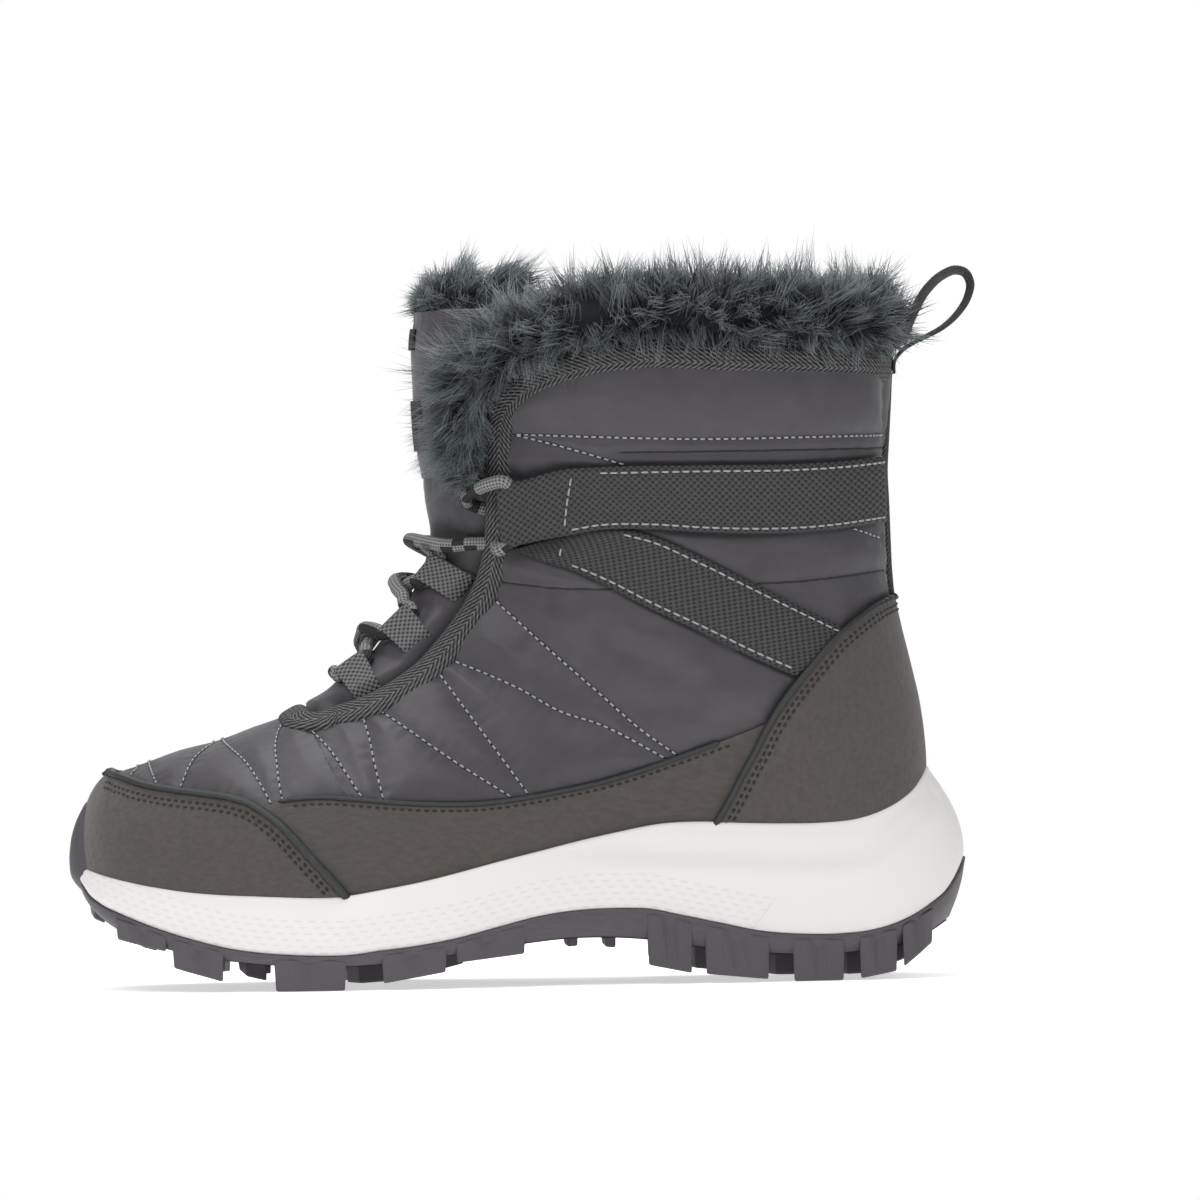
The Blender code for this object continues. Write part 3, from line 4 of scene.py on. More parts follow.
import bmesh
import bpy
import numpy as np
from mathutils import Matrix, Vector, noise
from mathutils.bvhtree import BVHTree
from mathutils.kdtree import KDTree

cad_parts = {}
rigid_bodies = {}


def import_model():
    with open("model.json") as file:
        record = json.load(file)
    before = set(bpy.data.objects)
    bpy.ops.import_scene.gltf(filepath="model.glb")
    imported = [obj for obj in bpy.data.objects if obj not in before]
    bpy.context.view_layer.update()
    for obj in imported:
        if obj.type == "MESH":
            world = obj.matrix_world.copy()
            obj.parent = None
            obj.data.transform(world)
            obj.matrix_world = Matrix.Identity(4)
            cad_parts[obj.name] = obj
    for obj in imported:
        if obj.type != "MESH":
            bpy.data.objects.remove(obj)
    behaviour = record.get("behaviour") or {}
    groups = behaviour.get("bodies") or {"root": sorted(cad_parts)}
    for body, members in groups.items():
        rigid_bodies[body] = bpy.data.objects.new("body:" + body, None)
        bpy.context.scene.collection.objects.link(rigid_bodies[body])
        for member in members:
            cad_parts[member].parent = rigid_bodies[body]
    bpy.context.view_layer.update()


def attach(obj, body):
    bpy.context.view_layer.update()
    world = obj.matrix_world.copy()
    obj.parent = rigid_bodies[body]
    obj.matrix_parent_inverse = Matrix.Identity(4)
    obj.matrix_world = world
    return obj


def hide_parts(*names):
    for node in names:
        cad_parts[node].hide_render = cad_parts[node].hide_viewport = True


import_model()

# Studio: a pale floor under a white sky, a broad lamp high in front of the toe, one overhead, and weaker ones past
# the heel and on the far side. The camera looks at the boot's outer side, rolled a little as the boot stands there.

VIEW_WIDTH = 0.372
VIEW_CENTRE = Vector((0.0248, -0.020, 0.1186))
VIEW_ROLL = math.radians(1.04)
VIEW_RISE = math.radians(0.5)
VIEW_LENS = 500.0

camera_data = bpy.data.cameras.new("camera")
camera_data.lens = VIEW_LENS
camera_data.sensor_width = 36.0
camera_data.clip_start = 0.05
camera_data.clip_end = 20.0
camera = bpy.data.objects.new("camera", camera_data)
bpy.context.scene.collection.objects.link(camera)
look = Vector((0, math.cos(VIEW_RISE), -math.sin(VIEW_RISE)))
level_up = Vector((0, math.sin(VIEW_RISE), math.cos(VIEW_RISE)))
right = Vector((1, 0, 0)) * math.cos(VIEW_ROLL) - level_up * math.sin(VIEW_ROLL)
up = Vector((1, 0, 0)) * math.sin(VIEW_ROLL) + level_up * math.cos(VIEW_ROLL)
place = VIEW_CENTRE - look * (VIEW_WIDTH * VIEW_LENS / 36.0)
camera.matrix_world = Matrix((
    (right.x, up.x, -look.x, place.x),
    (right.y, up.y, -look.y, place.y),
    (right.z, up.z, -look.z, place.z),
    (0, 0, 0, 1),
))
bpy.context.scene.camera = camera
bpy.context.scene.view_settings.view_transform = "Standard"

sky = bpy.data.worlds.new("sky")
sky.use_nodes = True
sky_nodes = sky.node_tree.nodes
sky_links = sky.node_tree.links
sky_light = sky_nodes["Background"]
sky_light.inputs["Color"].default_value = (1.0, 1.0, 1.0, 1)
sky_path = sky_nodes.new("ShaderNodeLightPath")
sky_level = sky_nodes.new("ShaderNodeMapRange")
sky_level.inputs["To Min"].default_value = 0.41
sky_level.inputs["To Max"].default_value = 1.0
sky_links.new(sky_path.outputs["Is Camera Ray"], sky_level.inputs["Value"])
sky_links.new(sky_level.outputs["Result"], sky_light.inputs["Strength"])
bpy.context.scene.world = sky


def soft_box(name, spot, aim, size, power):
    lamp = bpy.data.lights.new(name, "AREA")
    lamp.shape = "DISK"
    lamp.size = size
    lamp.energy = power
    holder = bpy.data.objects.new(name, lamp)
    bpy.context.scene.collection.objects.link(holder)
    holder.location = spot
    holder.rotation_euler = (Vector(aim) - Vector(spot)).to_track_quat("-Z", "Y").to_euler()


soft_box("key_lamp", (-0.50, -0.95, 1.25), (0, 0, 0.06), 0.9, 11.0)
soft_box("heel_lamp", (1.0, -0.75, 0.75), (0, 0, 0.08), 0.8, 3.0)
soft_box("top_lamp", (-0.1, 0.1, 1.45), (0, 0, 0.10), 0.8, 11.0)
soft_box("far_lamp", (0.3, 1.2, 0.8), (0, 0, 0.10), 0.9, 3.5)


def link_object(name, mesh):
    made = bpy.data.objects.new(name, mesh)
    bpy.context.scene.collection.objects.link(made)
    return made


def new_material(name, roughness):
    """A material with its Principled shader, ready for nodes."""
    made = bpy.data.materials.new(name)
    made.use_nodes = True
    shader = made.node_tree.nodes["Principled BSDF"]
    shader.inputs["Roughness"].default_value = roughness
    return made, made.node_tree.nodes, made.node_tree.links, shader


def maths_in(nodes, links):
    """A shorthand for Math nodes in one tree: operation, then numbers or sockets."""
    def maths(operation, *values):
        node = nodes.new("ShaderNodeMath")
        node.operation = operation
        for i, value in enumerate(values):
            if isinstance(value, (int, float)):
                node.inputs[i].default_value = value
            else:
                links.new(value, node.inputs[i])
        return node.outputs[0]
    return maths


def noise_node(nodes, links, scale, detail, vector=None):
    made = nodes.new("ShaderNodeTexNoise")
    made.inputs["Scale"].default_value = scale
    made.inputs["Detail"].default_value = detail
    if vector is not None:
        links.new(vector, made.inputs["Vector"])
    return made


def ramp_node(nodes, links, value, stops):
    made = nodes.new("ShaderNodeValToRGB")
    ramp = made.color_ramp
    ramp.elements[0].position, ramp.elements[0].color = stops[0][0], (*stops[0][1], 1)
    ramp.elements[1].position, ramp.elements[1].color = stops[-1][0], (*stops[-1][1], 1)
    for position, colour in stops[1:-1]:
        ramp.elements.new(position).color = (*colour, 1)
    links.new(value, made.inputs["Fac"])
    return made


def bump_node(nodes, links, height, strength, distance, before=None):
    made = nodes.new("ShaderNodeBump")
    made.inputs["Strength"].default_value = strength
    made.inputs["Distance"].default_value = distance
    links.new(height, made.inputs["Height"])
    if before is not None:
        links.new(before, made.inputs["Normal"])
    return made


floor_mesh = bpy.data.meshes.new("floor")
FLOOR_RADIUS = 0.60
floor_turns = np.linspace(0, 2 * math.pi, 96, endpoint=False)
floor_mesh.from_pydata(
    [(FLOOR_RADIUS * math.cos(a), FLOOR_RADIUS * math.sin(a), -0.0002) for a in floor_turns], [], [tuple(range(96))]
)
floor = link_object("floor", floor_mesh)
floor_paint, nodes, links, shader = new_material("floor_paint", 0.9)
floor_noise = noise_node(nodes, links, 30.0, 2.0)
floor_tone = ramp_node(nodes, links, floor_noise.outputs["Fac"],
                       [(0.0, (0.90, 0.90, 0.90)), (1.0, (0.93, 0.93, 0.93))])
links.new(floor_tone.outputs["Color"], shader.inputs["Base Color"])
links.new(floor_tone.outputs["Color"], shader.inputs["Emission Color"])
shader.inputs["Emission Strength"].default_value = 0.60
floor_mesh.materials.append(floor_paint)

# The last: the foot-shaped form that the boot is pulled over. Its outlines are read from the side, as shares of the
# boot's length from the toe and of the collar's height from the floor, and every piece of the upper is laid on it.

BOOT_LENGTH = 0.280
COLLAR_HEIGHT = 0.196
BALL_WIDTH = 0.097
HEEL_WIDTH = 0.072
ANKLE_WIDTH = 0.080
SHAFT_WIDTH = 0.094
LATERAL, MEDIAL = -1, 1
SIDES = (LATERAL, MEDIAL)
SIDE_NAMES = ((LATERAL, "lateral"), (MEDIAL, "medial"))
DATUM = np.array([-0.002429, 0.002738, 0.0])
FAN_ALONG, FAN_UP = 0.049, 1.061
TOP_LINE = [
    (0.022, 0.240), (0.026, 0.274), (0.034, 0.305), (0.044, 0.325), (0.058, 0.339), (0.079, 0.351),
    (0.111, 0.366), (0.156, 0.384), (0.200, 0.403), (0.245, 0.427), (0.267, 0.443), (0.296, 0.466),
    (0.319, 0.497), (0.353, 0.539), (0.378, 0.585), (0.396, 0.628), (0.410, 0.672), (0.416, 0.719),
    (0.411, 0.758), (0.405, 0.801), (0.401, 0.862), (0.399, 0.941), (0.397, 1.020), (0.399, 1.067),
    (0.401, 1.115),
]
BOTTOM_LINE = [
    (0.022, 0.240), (0.023, 0.198), (0.026, 0.160), (0.034, 0.120), (0.050, 0.090), (0.082, 0.066),
    (0.126, 0.050), (0.170, 0.044), (0.259, 0.040), (0.308, 0.040), (0.392, 0.055), (0.481, 0.085),
    (0.570, 0.115), (0.658, 0.138), (0.747, 0.142), (0.836, 0.144), (0.891, 0.156), (0.921, 0.180),
    (0.938, 0.220), (0.946, 0.270), (0.948, 0.325), (0.947, 0.373), (0.943, 0.430), (0.934, 0.490),
    (0.924, 0.550), (0.918, 0.595), (0.915, 0.643), (0.914, 0.690), (0.913, 0.753), (0.912, 0.801),
    (0.914, 0.848), (0.917, 0.911), (0.919, 0.959), (0.921, 1.006), (0.924, 1.054), (0.927, 1.101),
]
SECTIONS = np.array([
    # station, half width, shift of the centre, widest, square above, square below
    (0.00, 0.02 * BALL_WIDTH, 0.070, 0.50, 2.0, 2.0),
    (0.06, 0.110 * BALL_WIDTH, 0.068, 0.50, 2.0, 2.0),
    (0.12, 0.205 * BALL_WIDTH, 0.064, 0.50, 2.1, 2.2),
    (0.25, 0.350 * BALL_WIDTH, 0.048, 0.56, 2.3, 2.6),
    (0.38, 0.440 * BALL_WIDTH, 0.018, 0.62, 2.3, 3.0),
    (0.48, 0.492 * BALL_WIDTH, -0.010, 0.65, 2.2, 3.2),
    (0.58, 0.480 * BALL_WIDTH, -0.030, 0.68, 2.0, 3.4),
    (0.68, 0.415 * BALL_WIDTH, -0.032, 0.70, 1.9, 3.4),
    (0.74, 0.500 * HEEL_WIDTH, -0.024, 0.68, 1.9, 3.2),
    (0.79, 0.510 * HEEL_WIDTH, -0.012, 0.63, 1.9, 2.7),
    (0.84, 0.505 * ANKLE_WIDTH, -0.004, 0.56, 1.9, 2.3),
    (0.90, 0.500 * ANKLE_WIDTH, 0.000, 0.51, 2.0, 2.1),
    (1.00, 0.500 * SHAFT_WIDTH, 0.000, 0.50, 2.1, 2.1),
    (1.04, 0.505 * SHAFT_WIDTH, 0.000, 0.50, 2.1, 2.1),
])
THROAT_LINE = [
    (0.265, 0.441), (0.270, 0.434), (0.279, 0.431), (0.307, 0.442), (0.329, 0.452), (0.352, 0.467),
    (0.374, 0.486), (0.397, 0.511), (0.419, 0.545), (0.436, 0.576), (0.451, 0.607), (0.462, 0.639),
    (0.469, 0.670), (0.473, 0.702), (0.476, 0.765), (0.477, 0.844), (0.479, 0.891), (0.486, 0.923),
    (0.500, 0.946), (0.519, 0.965), (0.541, 0.979), (0.569, 0.991), (0.602, 1.001), (0.657, 1.0084),
]
FEATHER_LINE = [
    (0.012, 0.203), (0.021, 0.198), (0.038, 0.189), (0.082, 0.172), (0.126, 0.160), (0.171, 0.153),
    (0.215, 0.150), (0.259, 0.147), (0.309, 0.147), (0.348, 0.156), (0.392, 0.167), (0.437, 0.182),
    (0.481, 0.198), (0.526, 0.213), (0.570, 0.228), (0.615, 0.241), (0.659, 0.252), (0.703, 0.254),
    (0.748, 0.251), (0.792, 0.249), (0.836, 0.249), (0.881, 0.256), (0.900, 0.266), (0.920, 0.282),
    (0.937, 0.305), (0.948, 0.333), (0.953, 0.349),
]


def smooth(knots, values, at):
    """A smooth curve through the knots, held level past its ends."""
    knots, values = np.asarray(knots, float), np.asarray(values, float)
    at = np.clip(np.asarray(at, float), knots[0], knots[-1])
    slopes = np.gradient(values, knots)
    i = np.clip(np.searchsorted(knots, at) - 1, 0, len(knots) - 2)
    step = knots[i + 1] - knots[i]
    t = (at - knots[i]) / step
    return (
        (2 * t**3 - 3 * t**2 + 1) * values[i]
        + (t**3 - 2 * t**2 + t) * step * slopes[i]
        + (3 * t**2 - 2 * t**3) * values[i + 1]
        + (t**3 - t**2) * step * slopes[i + 1]
    )


def path_run(points):
    """Length along a path up to each of its points."""
    return np.concatenate([[0], np.cumsum(np.linalg.norm(np.diff(points, axis=0), axis=1))])


def unit(vectors):
    return vectors / np.maximum(np.linalg.norm(vectors, axis=-1, keepdims=True), 1e-12)


def read_at(values, run, at):
    """Points or directions of a path, read at some lengths along it."""
    return np.stack([np.interp(at, run, values[..., k]) for k in range(values.shape[-1])], axis=-1)


def resample(points, count):
    """The same path with this many points, evenly spaced along it."""
    points = np.asarray(points, float)
    run = path_run(points)
    at = np.linspace(0, run[-1], count)
    return read_at(points, run, at)


def rounded(points, count):
    """A smooth path through a few points."""
    points = np.asarray(points, float)
    run = path_run(points)
    at = np.linspace(0, run[-1], 16 * len(points))
    return resample(np.stack([smooth(run, points[:, k], at) for k in range(points.shape[1])], axis=1), count)


def side_points(table):
    """A side outline in metres: (x, z) rows."""
    rows = np.array(table, float)
    return np.stack([(rows[:, 0] - 0.5) * BOOT_LENGTH + DATUM[0], rows[:, 1] * COLLAR_HEIGHT], axis=1)


FAN_X, FAN_Z = side_points([(FAN_ALONG, FAN_UP)])[0]


def fan_angle(x, z):
    return np.arctan2(x - FAN_X, FAN_Z - z)


TOE_ANGLE = float(fan_angle(*side_points(TOP_LINE)[0]))
COLLAR_ANGLE = float(fan_angle(*side_points([(0.824, 0.994)])[0]))


def station_of(x, z):
    share = (fan_angle(x, z) - TOE_ANGLE) / (COLLAR_ANGLE - TOE_ANGLE)
    return np.sqrt(np.maximum(share, 0))


def fan_line(table):
    points = side_points(table)
    return station_of(points[:, 0], points[:, 1]), np.hypot(points[:, 0] - FAN_X, points[:, 1] - FAN_Z)


TOP = fan_line(TOP_LINE)
BOTTOM = fan_line(BOTTOM_LINE)


def section_shape(station):
    half = smooth(SECTIONS[:, 0], SECTIONS[:, 1], station)
    centre = smooth(SECTIONS[:, 0], SECTIONS[:, 2], station) * BALL_WIDTH + DATUM[1]
    return half, centre, *(smooth(SECTIONS[:, 0], SECTIONS[:, k], station) for k in (3, 4, 5))


def last_point(station, down, side):
    """Point of the last: 0 down its section is the top or front, 1 the bottom or back."""
    station, down = np.broadcast_arrays(np.asarray(station, float), np.asarray(down, float))
    near, far = smooth(*TOP, station), smooth(*BOTTOM, station)
    radius = near + (far - near) * down
    half, centre, widest, above, below = section_shape(station)
    high = np.clip((widest - down) / widest, 0, 1)
    low = np.clip((down - widest) / (1 - widest), 0, 1)
    reach = np.where(down < widest, (1 - high**above) ** (1 / above), (1 - low**below) ** (1 / below))
    angle = TOE_ANGLE + (COLLAR_ANGLE - TOE_ANGLE) * station**2
    return np.stack(
        [FAN_X + radius * np.sin(angle), centre + side * half * reach, FAN_Z - radius * np.cos(angle)], axis=-1
    )


def down_of(x, z):
    station = station_of(x, z)
    near, far = smooth(*TOP, station), smooth(*BOTTOM, station)
    return station, np.clip((np.hypot(x - FAN_X, z - FAN_Z) - near) / (far - near), 0, 1)


def last_side(points, side):
    """Places on the last's side, given as seen from the side."""
    points = np.asarray(points, float)
    station, down = down_of(points[..., 0], points[..., 1])
    return last_point(station, down, side)


def edge_share(line):
    """How far down its section an edge lies at each station."""
    stations, radii = fan_line(line)
    order = np.argsort(stations)

    def share(station):
        near, far = smooth(*TOP, station), smooth(*BOTTOM, station)
        at = smooth(stations[order], radii[order], station)
        return np.clip((at - near) / (far - near), 0, 1)

    return share


FEATHER = side_points(FEATHER_LINE)


def feather_height(x):
    return smooth(FEATHER[:, 0], FEATHER[:, 1], x)


def share_below_feather(station, drop):
    down = np.linspace(0, 1, 400)
    points = last_point(station, down, LATERAL)
    over = points[:, 2] - feather_height(points[:, 0]) + drop
    under = np.nonzero(over < 0)[0]
    if not len(under):
        return 1.0
    i = under[0]
    if i == 0:
        return 0.0
    return float(down[i - 1] + (down[i] - down[i - 1]) * over[i - 1] / (over[i - 1] - over[i]))


TURN = (1 - np.cos(np.linspace(0, math.pi, 161))) / 2


def section_run(station, side, first, last, columns):
    """Evenly spaced points down one section, from one share to another."""
    return resample(last_point(station, first + (last - first) * TURN, side), columns + 1)


def grid_quads(rows, columns, start=0, flip=False):
    a = (np.arange(rows - 1)[:, None] * columns + np.arange(columns - 1)[None, :]).ravel() + start
    quads = np.stack([a, a + 1, a + columns + 1, a + columns], axis=1)
    return quads[:, ::-1] if flip else quads


def grid_map(along, across):
    """A map for a grid: metres along its rows and across its columns."""
    return np.stack(np.broadcast_arrays(along[:, None], across[None, :]), axis=-1)


def shape(name, points, faces, finish, flat=False, uv=None, values=None):
    """An object from points and faces of one size, with a map of (along, across) metres and named point values."""
    points = np.asarray(points, np.float32).reshape(-1, 3)
    faces = np.asarray(faces, np.int32)
    mesh = bpy.data.meshes.new(name)
    mesh.vertices.add(len(points))
    mesh.vertices.foreach_set("co", points.ravel())
    mesh.loops.add(faces.size)
    mesh.loops.foreach_set("vertex_index", faces.ravel())
    mesh.polygons.add(len(faces))
    mesh.polygons.foreach_set("loop_start", np.arange(len(faces), dtype=np.int32) * faces.shape[1])
    mesh.update(calc_edges=True)
    if not flat:
        mesh.polygons.foreach_set("use_smooth", np.ones(len(faces), bool))
    if uv is not None:
        layer = mesh.uv_layers.new(name="along_across")
        layer.data.foreach_set("uv", np.asarray(uv, np.float32).reshape(-1, 2)[faces.ravel()].ravel())
    for key, value in (values or {}).items():
        layer = mesh.attributes.new(key, "FLOAT", "POINT")
        layer.data.foreach_set("value", np.asarray(value, np.float32).ravel())
    mesh.materials.append(finish)
    return link_object(name, mesh)


def welded(made, distance=1e-5):
    """Joins points that lie on each other and turns the faces the same way."""
    bm = bmesh.new()
    bm.from_mesh(made.data)
    bmesh.ops.remove_doubles(bm, verts=bm.verts, dist=distance)
    bmesh.ops.dissolve_degenerate(bm, edges=bm.edges, dist=distance / 4)
    bmesh.ops.recalc_face_normals(bm, faces=bm.faces)
    bm.to_mesh(made.data)
    bm.free()
    return made


def coordinates(made):
    found = np.empty(len(made.data.vertices) * 3, np.float32)
    made.data.vertices.foreach_get("co", found)
    return found.reshape(-1, 3).astype(float)


def vertex_normals(made):
    found = np.empty(len(made.data.vertices) * 3, np.float32)
    made.data.vertex_normals.foreach_get("vector", found)
    return found.reshape(-1, 3).astype(float)


def set_coordinates(made, points):
    made.data.vertices.foreach_set("co", np.asarray(points, np.float32).ravel())
    made.data.update()


def facing_out(made):
    """Turns an open sheet over if it looks towards the inside of the boot."""
    points, normals = coordinates(made), vertex_normals(made)
    _, away = ON_LAST.near(points[:: max(1, len(points) // 400)])
    if (normals[:: max(1, len(points) // 400)] * away).sum() < 0:
        made.data.flip_normals()
    return made


class Ground:
    """A surface that later pieces are laid on: the nearest place on it and its smooth normal there."""

    def __init__(self, made):
        mesh = made.data
        self.points, self.normals = coordinates(made), vertex_normals(made)
        mesh.calc_loop_triangles()
        corners = np.empty(len(mesh.loop_triangles) * 3, np.int32)
        mesh.loop_triangles.foreach_get("vertices", corners)
        self.corners = corners.reshape(-1, 3)
        self.tree = BVHTree.FromPolygons(self.points.tolist(), self.corners.tolist())

    def near(self, places):
        places = np.asarray(places, float).reshape(-1, 3)
        spots, faces = np.empty_like(places), np.empty(len(places), int)
        for i, spot in enumerate(places):
            found, _, index, _ = self.tree.find_nearest(Vector(spot))
            spots[i], faces[i] = found, index
        a, b, c = (self.points[self.corners[faces, k]] for k in range(3))
        ab, ac, ap = b - a, c - a, spots - a
        d00, d01, d11 = (ab * ab).sum(1), (ab * ac).sum(1), (ac * ac).sum(1)
        d20, d21 = (ap * ab).sum(1), (ap * ac).sum(1)
        scale = np.maximum(d00 * d11 - d01 * d01, 1e-20)
        v = (d11 * d20 - d01 * d21) / scale
        w = (d00 * d21 - d01 * d20) / scale
        weights = np.clip(np.stack([1 - v - w, v, w], axis=1), 0, 1)
        normals = sum(self.normals[self.corners[faces, k]] * weights[:, k : k + 1] for k in range(3))
        normals = unit(normals)
        return spots, normals

    def over(self, places, lift):
        spots, normals = self.near(places)
        return spots + normals * np.reshape(lift, (-1, 1))


LAST_STATIONS = np.linspace(0.004, 1.03, 320)
form_points, form_quads = [], []
for side in SIDES:
    form_quads.append(grid_quads(320, 91, sum(len(p) for p in form_points), side == MEDIAL))
    form_points.append(np.concatenate([section_run(q, side, 0.0, 1.0, 90) for q in LAST_STATIONS]))
last_form = welded(shape("last_form", np.concatenate(form_points), np.concatenate(form_quads),
                         bpy.data.materials.new("last_form")))
form_points, form_normals = coordinates(last_form), vertex_normals(last_form)
if (form_normals * (form_points - form_points.mean(0))).sum() < 0:
    last_form.data.flip_normals()
ON_LAST = Ground(last_form)
bpy.data.objects.remove(last_form)

# Shell: quilted nylon over padding, from the throat and the collar down into the midsole's cup. Straight rows of
# lockstitch hold the padding in cells, and the cells swell between them and between the overlays.

def mixed_node(nodes, links, first, second, factor, blend="MULTIPLY"):
    """Two colours mixed; the second colour and the factor may be plain values or sockets."""
    made = nodes.new("ShaderNodeMix")
    made.data_type = "RGBA"
    made.blend_type = blend
    links.new(first, made.inputs["A"])
    for socket, value in (("B", second), ("Factor", factor)):
        if isinstance(value, (float, tuple)):
            made.inputs[socket].default_value = value
        else:
            links.new(value, made.inputs[socket])
    return made.outputs["Result"]


def finished(shader, links, colour, bump):
    links.new(colour, shader.inputs["Base Color"])
    links.new(bump.outputs["Normal"], shader.inputs["Normal"])


nylon, nodes, links, shader = new_material("quilted_nylon", 0.52)
shader.inputs["Sheen Weight"].default_value = 0.25
shader.inputs["Sheen Roughness"].default_value = 0.4
nylon_cloud = noise_node(nodes, links, 26.0, 3.0)
nylon_tone = ramp_node(nodes, links, nylon_cloud.outputs["Fac"],
                       [(0.30, (0.0425, 0.0385, 0.0450)), (0.70, (0.0555, 0.0505, 0.0585))])
nylon_grain = noise_node(nodes, links, 1500.0, 2.0)
nylon_colour = mixed_node(nodes, links, nylon_tone.outputs["Color"], nylon_grain.outputs["Color"], 0.28)
nylon_crinkle = noise_node(nodes, links, 210.0, 4.0)
nylon_soft = bump_node(nodes, links, nylon_crinkle.outputs["Fac"], 0.08, 0.0008)
nylon_weave = bump_node(nodes, links, nylon_grain.outputs["Fac"], 0.12, 0.0002, nylon_soft.outputs["Normal"])
finished(shader, links, nylon_colour, nylon_weave)

THROAT_START = float(fan_line(THROAT_LINE)[0][0])
throat_share = edge_share(THROAT_LINE)
TOE_CAP_EDGE = [
    (0.046, 0.349), (0.053, 0.336), (0.068, 0.328), (0.095, 0.317), (0.128, 0.310), (0.161, 0.305),
    (0.189, 0.299), (0.211, 0.289), (0.227, 0.274), (0.244, 0.255), (0.260, 0.231), (0.276, 0.205),
    (0.293, 0.179), (0.309, 0.152), (0.325, 0.126),
]
FOXING_EDGE = [
    (0.215, 0.281), (0.239, 0.295), (0.261, 0.299), (0.294, 0.300), (0.327, 0.296), (0.372, 0.290),
    (0.416, 0.287), (0.460, 0.287), (0.505, 0.294), (0.549, 0.304), (0.593, 0.317), (0.638, 0.335),
    (0.682, 0.356), (0.727, 0.379), (0.777, 0.406),
]
COUNTER_EDGE = [
    (0.690, 0.180), (0.722, 0.255), (0.737, 0.290), (0.751, 0.327), (0.766, 0.365), (0.777, 0.396),
    (0.792, 0.432), (0.811, 0.468), (0.831, 0.502), (0.851, 0.534), (0.873, 0.561), (0.896, 0.585),
    (0.921, 0.604),
]
STRAP_TOP = [(0.494, 0.794), (0.522, 0.800), (0.555, 0.813), (0.600, 0.817), (0.710, 0.817), (0.821, 0.816),
             (0.866, 0.819), (0.930, 0.827)]
STRAP_BOTTOM = [(0.501, 0.690), (0.521, 0.699), (0.543, 0.704), (0.571, 0.710), (0.598, 0.716), (0.654, 0.716),
                (0.709, 0.710), (0.798, 0.706), (0.842, 0.709), (0.930, 0.722)]
STAY_TOP = [(0.554, 0.706), (0.598, 0.717), (0.626, 0.717), (0.665, 0.700), (0.709, 0.670), (0.763, 0.629),
            (0.818, 0.587), (0.868, 0.549)]
STAY_BOTTOM = [(0.504, 0.689), (0.531, 0.672), (0.565, 0.656), (0.597, 0.635), (0.652, 0.592), (0.707, 0.553),
               (0.762, 0.512), (0.811, 0.479)]
# Rows of light thread on the vamp and the shaft, then the seams that show no thread.
QUILT_ROWS = [
    [(0.090, 0.367), (0.071, 0.335)],
    [(0.090, 0.367), (0.106, 0.316)],
    [(0.171, 0.393), (0.146, 0.367), (0.128, 0.315)],
    [(0.174, 0.393), (0.201, 0.361), (0.233, 0.289)],
    [(0.248, 0.430), (0.237, 0.399), (0.238, 0.344), (0.244, 0.291)],
    [(0.252, 0.430), (0.284, 0.395), (0.333, 0.297)],
    [(0.329, 0.446), (0.338, 0.404), (0.346, 0.349), (0.355, 0.293)],
    [(0.337, 0.450), (0.373, 0.416), (0.417, 0.371), (0.499, 0.294)],
    [(0.408, 0.513), (0.440, 0.449), (0.483, 0.364), (0.516, 0.297)],
    [(0.417, 0.523), (0.507, 0.467), (0.551, 0.431), (0.595, 0.409), (0.669, 0.352)],
    [(0.468, 0.626), (0.530, 0.542), (0.595, 0.458), (0.639, 0.401), (0.682, 0.356)],
    [(0.504, 0.870), (0.600, 0.863), (0.711, 0.857), (0.822, 0.857), (0.913, 0.858)],
    [(0.504, 0.870), (0.556, 0.850), (0.631, 0.817)],
    [(0.875, 0.712), (0.908, 0.695)],
]
BLIND_SEAMS = [
    [(0.620, 0.838), (0.740, 0.837), (0.913, 0.837)],
    [(0.470, 0.640), (0.553, 0.625), (0.619, 0.622)],
    [(0.769, 0.627), (0.819, 0.629), (0.913, 0.643)],
]
QUILT_SWELL = 0.0026
QUILT_REACH = 0.0060
PUCKER = 0.00022
SHELL_ROWS = 330
SHELL_COLUMNS = 84
LASTING_DEPTH = 0.0060


def side_lines(tables, step=0.0008):
    """The same lines on both sides of the last, as points with their direction and their run."""
    spots, ways, runs, count = [], [], [], 0
    for table in tables:
        flat = side_points(table)
        length = np.linalg.norm(np.diff(flat, axis=0), axis=1).sum()
        path = rounded(flat, max(8, int(length / step)))
        for side in SIDES:
            on = last_side(path, side)
            way = unit(np.gradient(on, axis=0))
            run = path_run(on)
            spots.append(on)
            ways.append(way)
            runs.append(run + 0.37 * count)
            count += 1
    return np.concatenate(spots), np.concatenate(ways), np.concatenate(runs)


def from_lines(points, lines):
    """How far each point is from the nearest line, and the run along that line."""
    spots, ways, runs = lines
    tree = KDTree(len(spots))
    for i, spot in enumerate(spots):
        tree.insert(Vector(spot), i)
    tree.balance()
    nearest = np.array([tree.find(Vector(p))[1] for p in points])
    gap = points - spots[nearest]
    along = (gap * ways[nearest]).sum(1)
    aside = np.sqrt(np.maximum((gap**2).sum(1) - np.clip(along, -0.0006, 0.0006) ** 2, 0))
    return aside, runs[nearest] + along


def within(points, outline):
    """Which side-view points lie inside a closed outline."""
    x, z = points[:, 0], points[:, 1]
    inside = np.zeros(len(points), bool)
    for (x0, z0), (x1, z1) in zip(outline, np.roll(outline, -1, axis=0)):
        if z0 != z1:
            crosses = ((z0 > z) != (z1 > z)) & (x < (x1 - x0) * (z - z0) / (z1 - z0) + x0)
            inside ^= crosses
    return inside


def low_line(table):
    """A side outline closed far below it."""
    line = side_points(table)
    return np.concatenate([line, [[line[-1, 0], 0.0], [line[0, 0], 0.0]]])


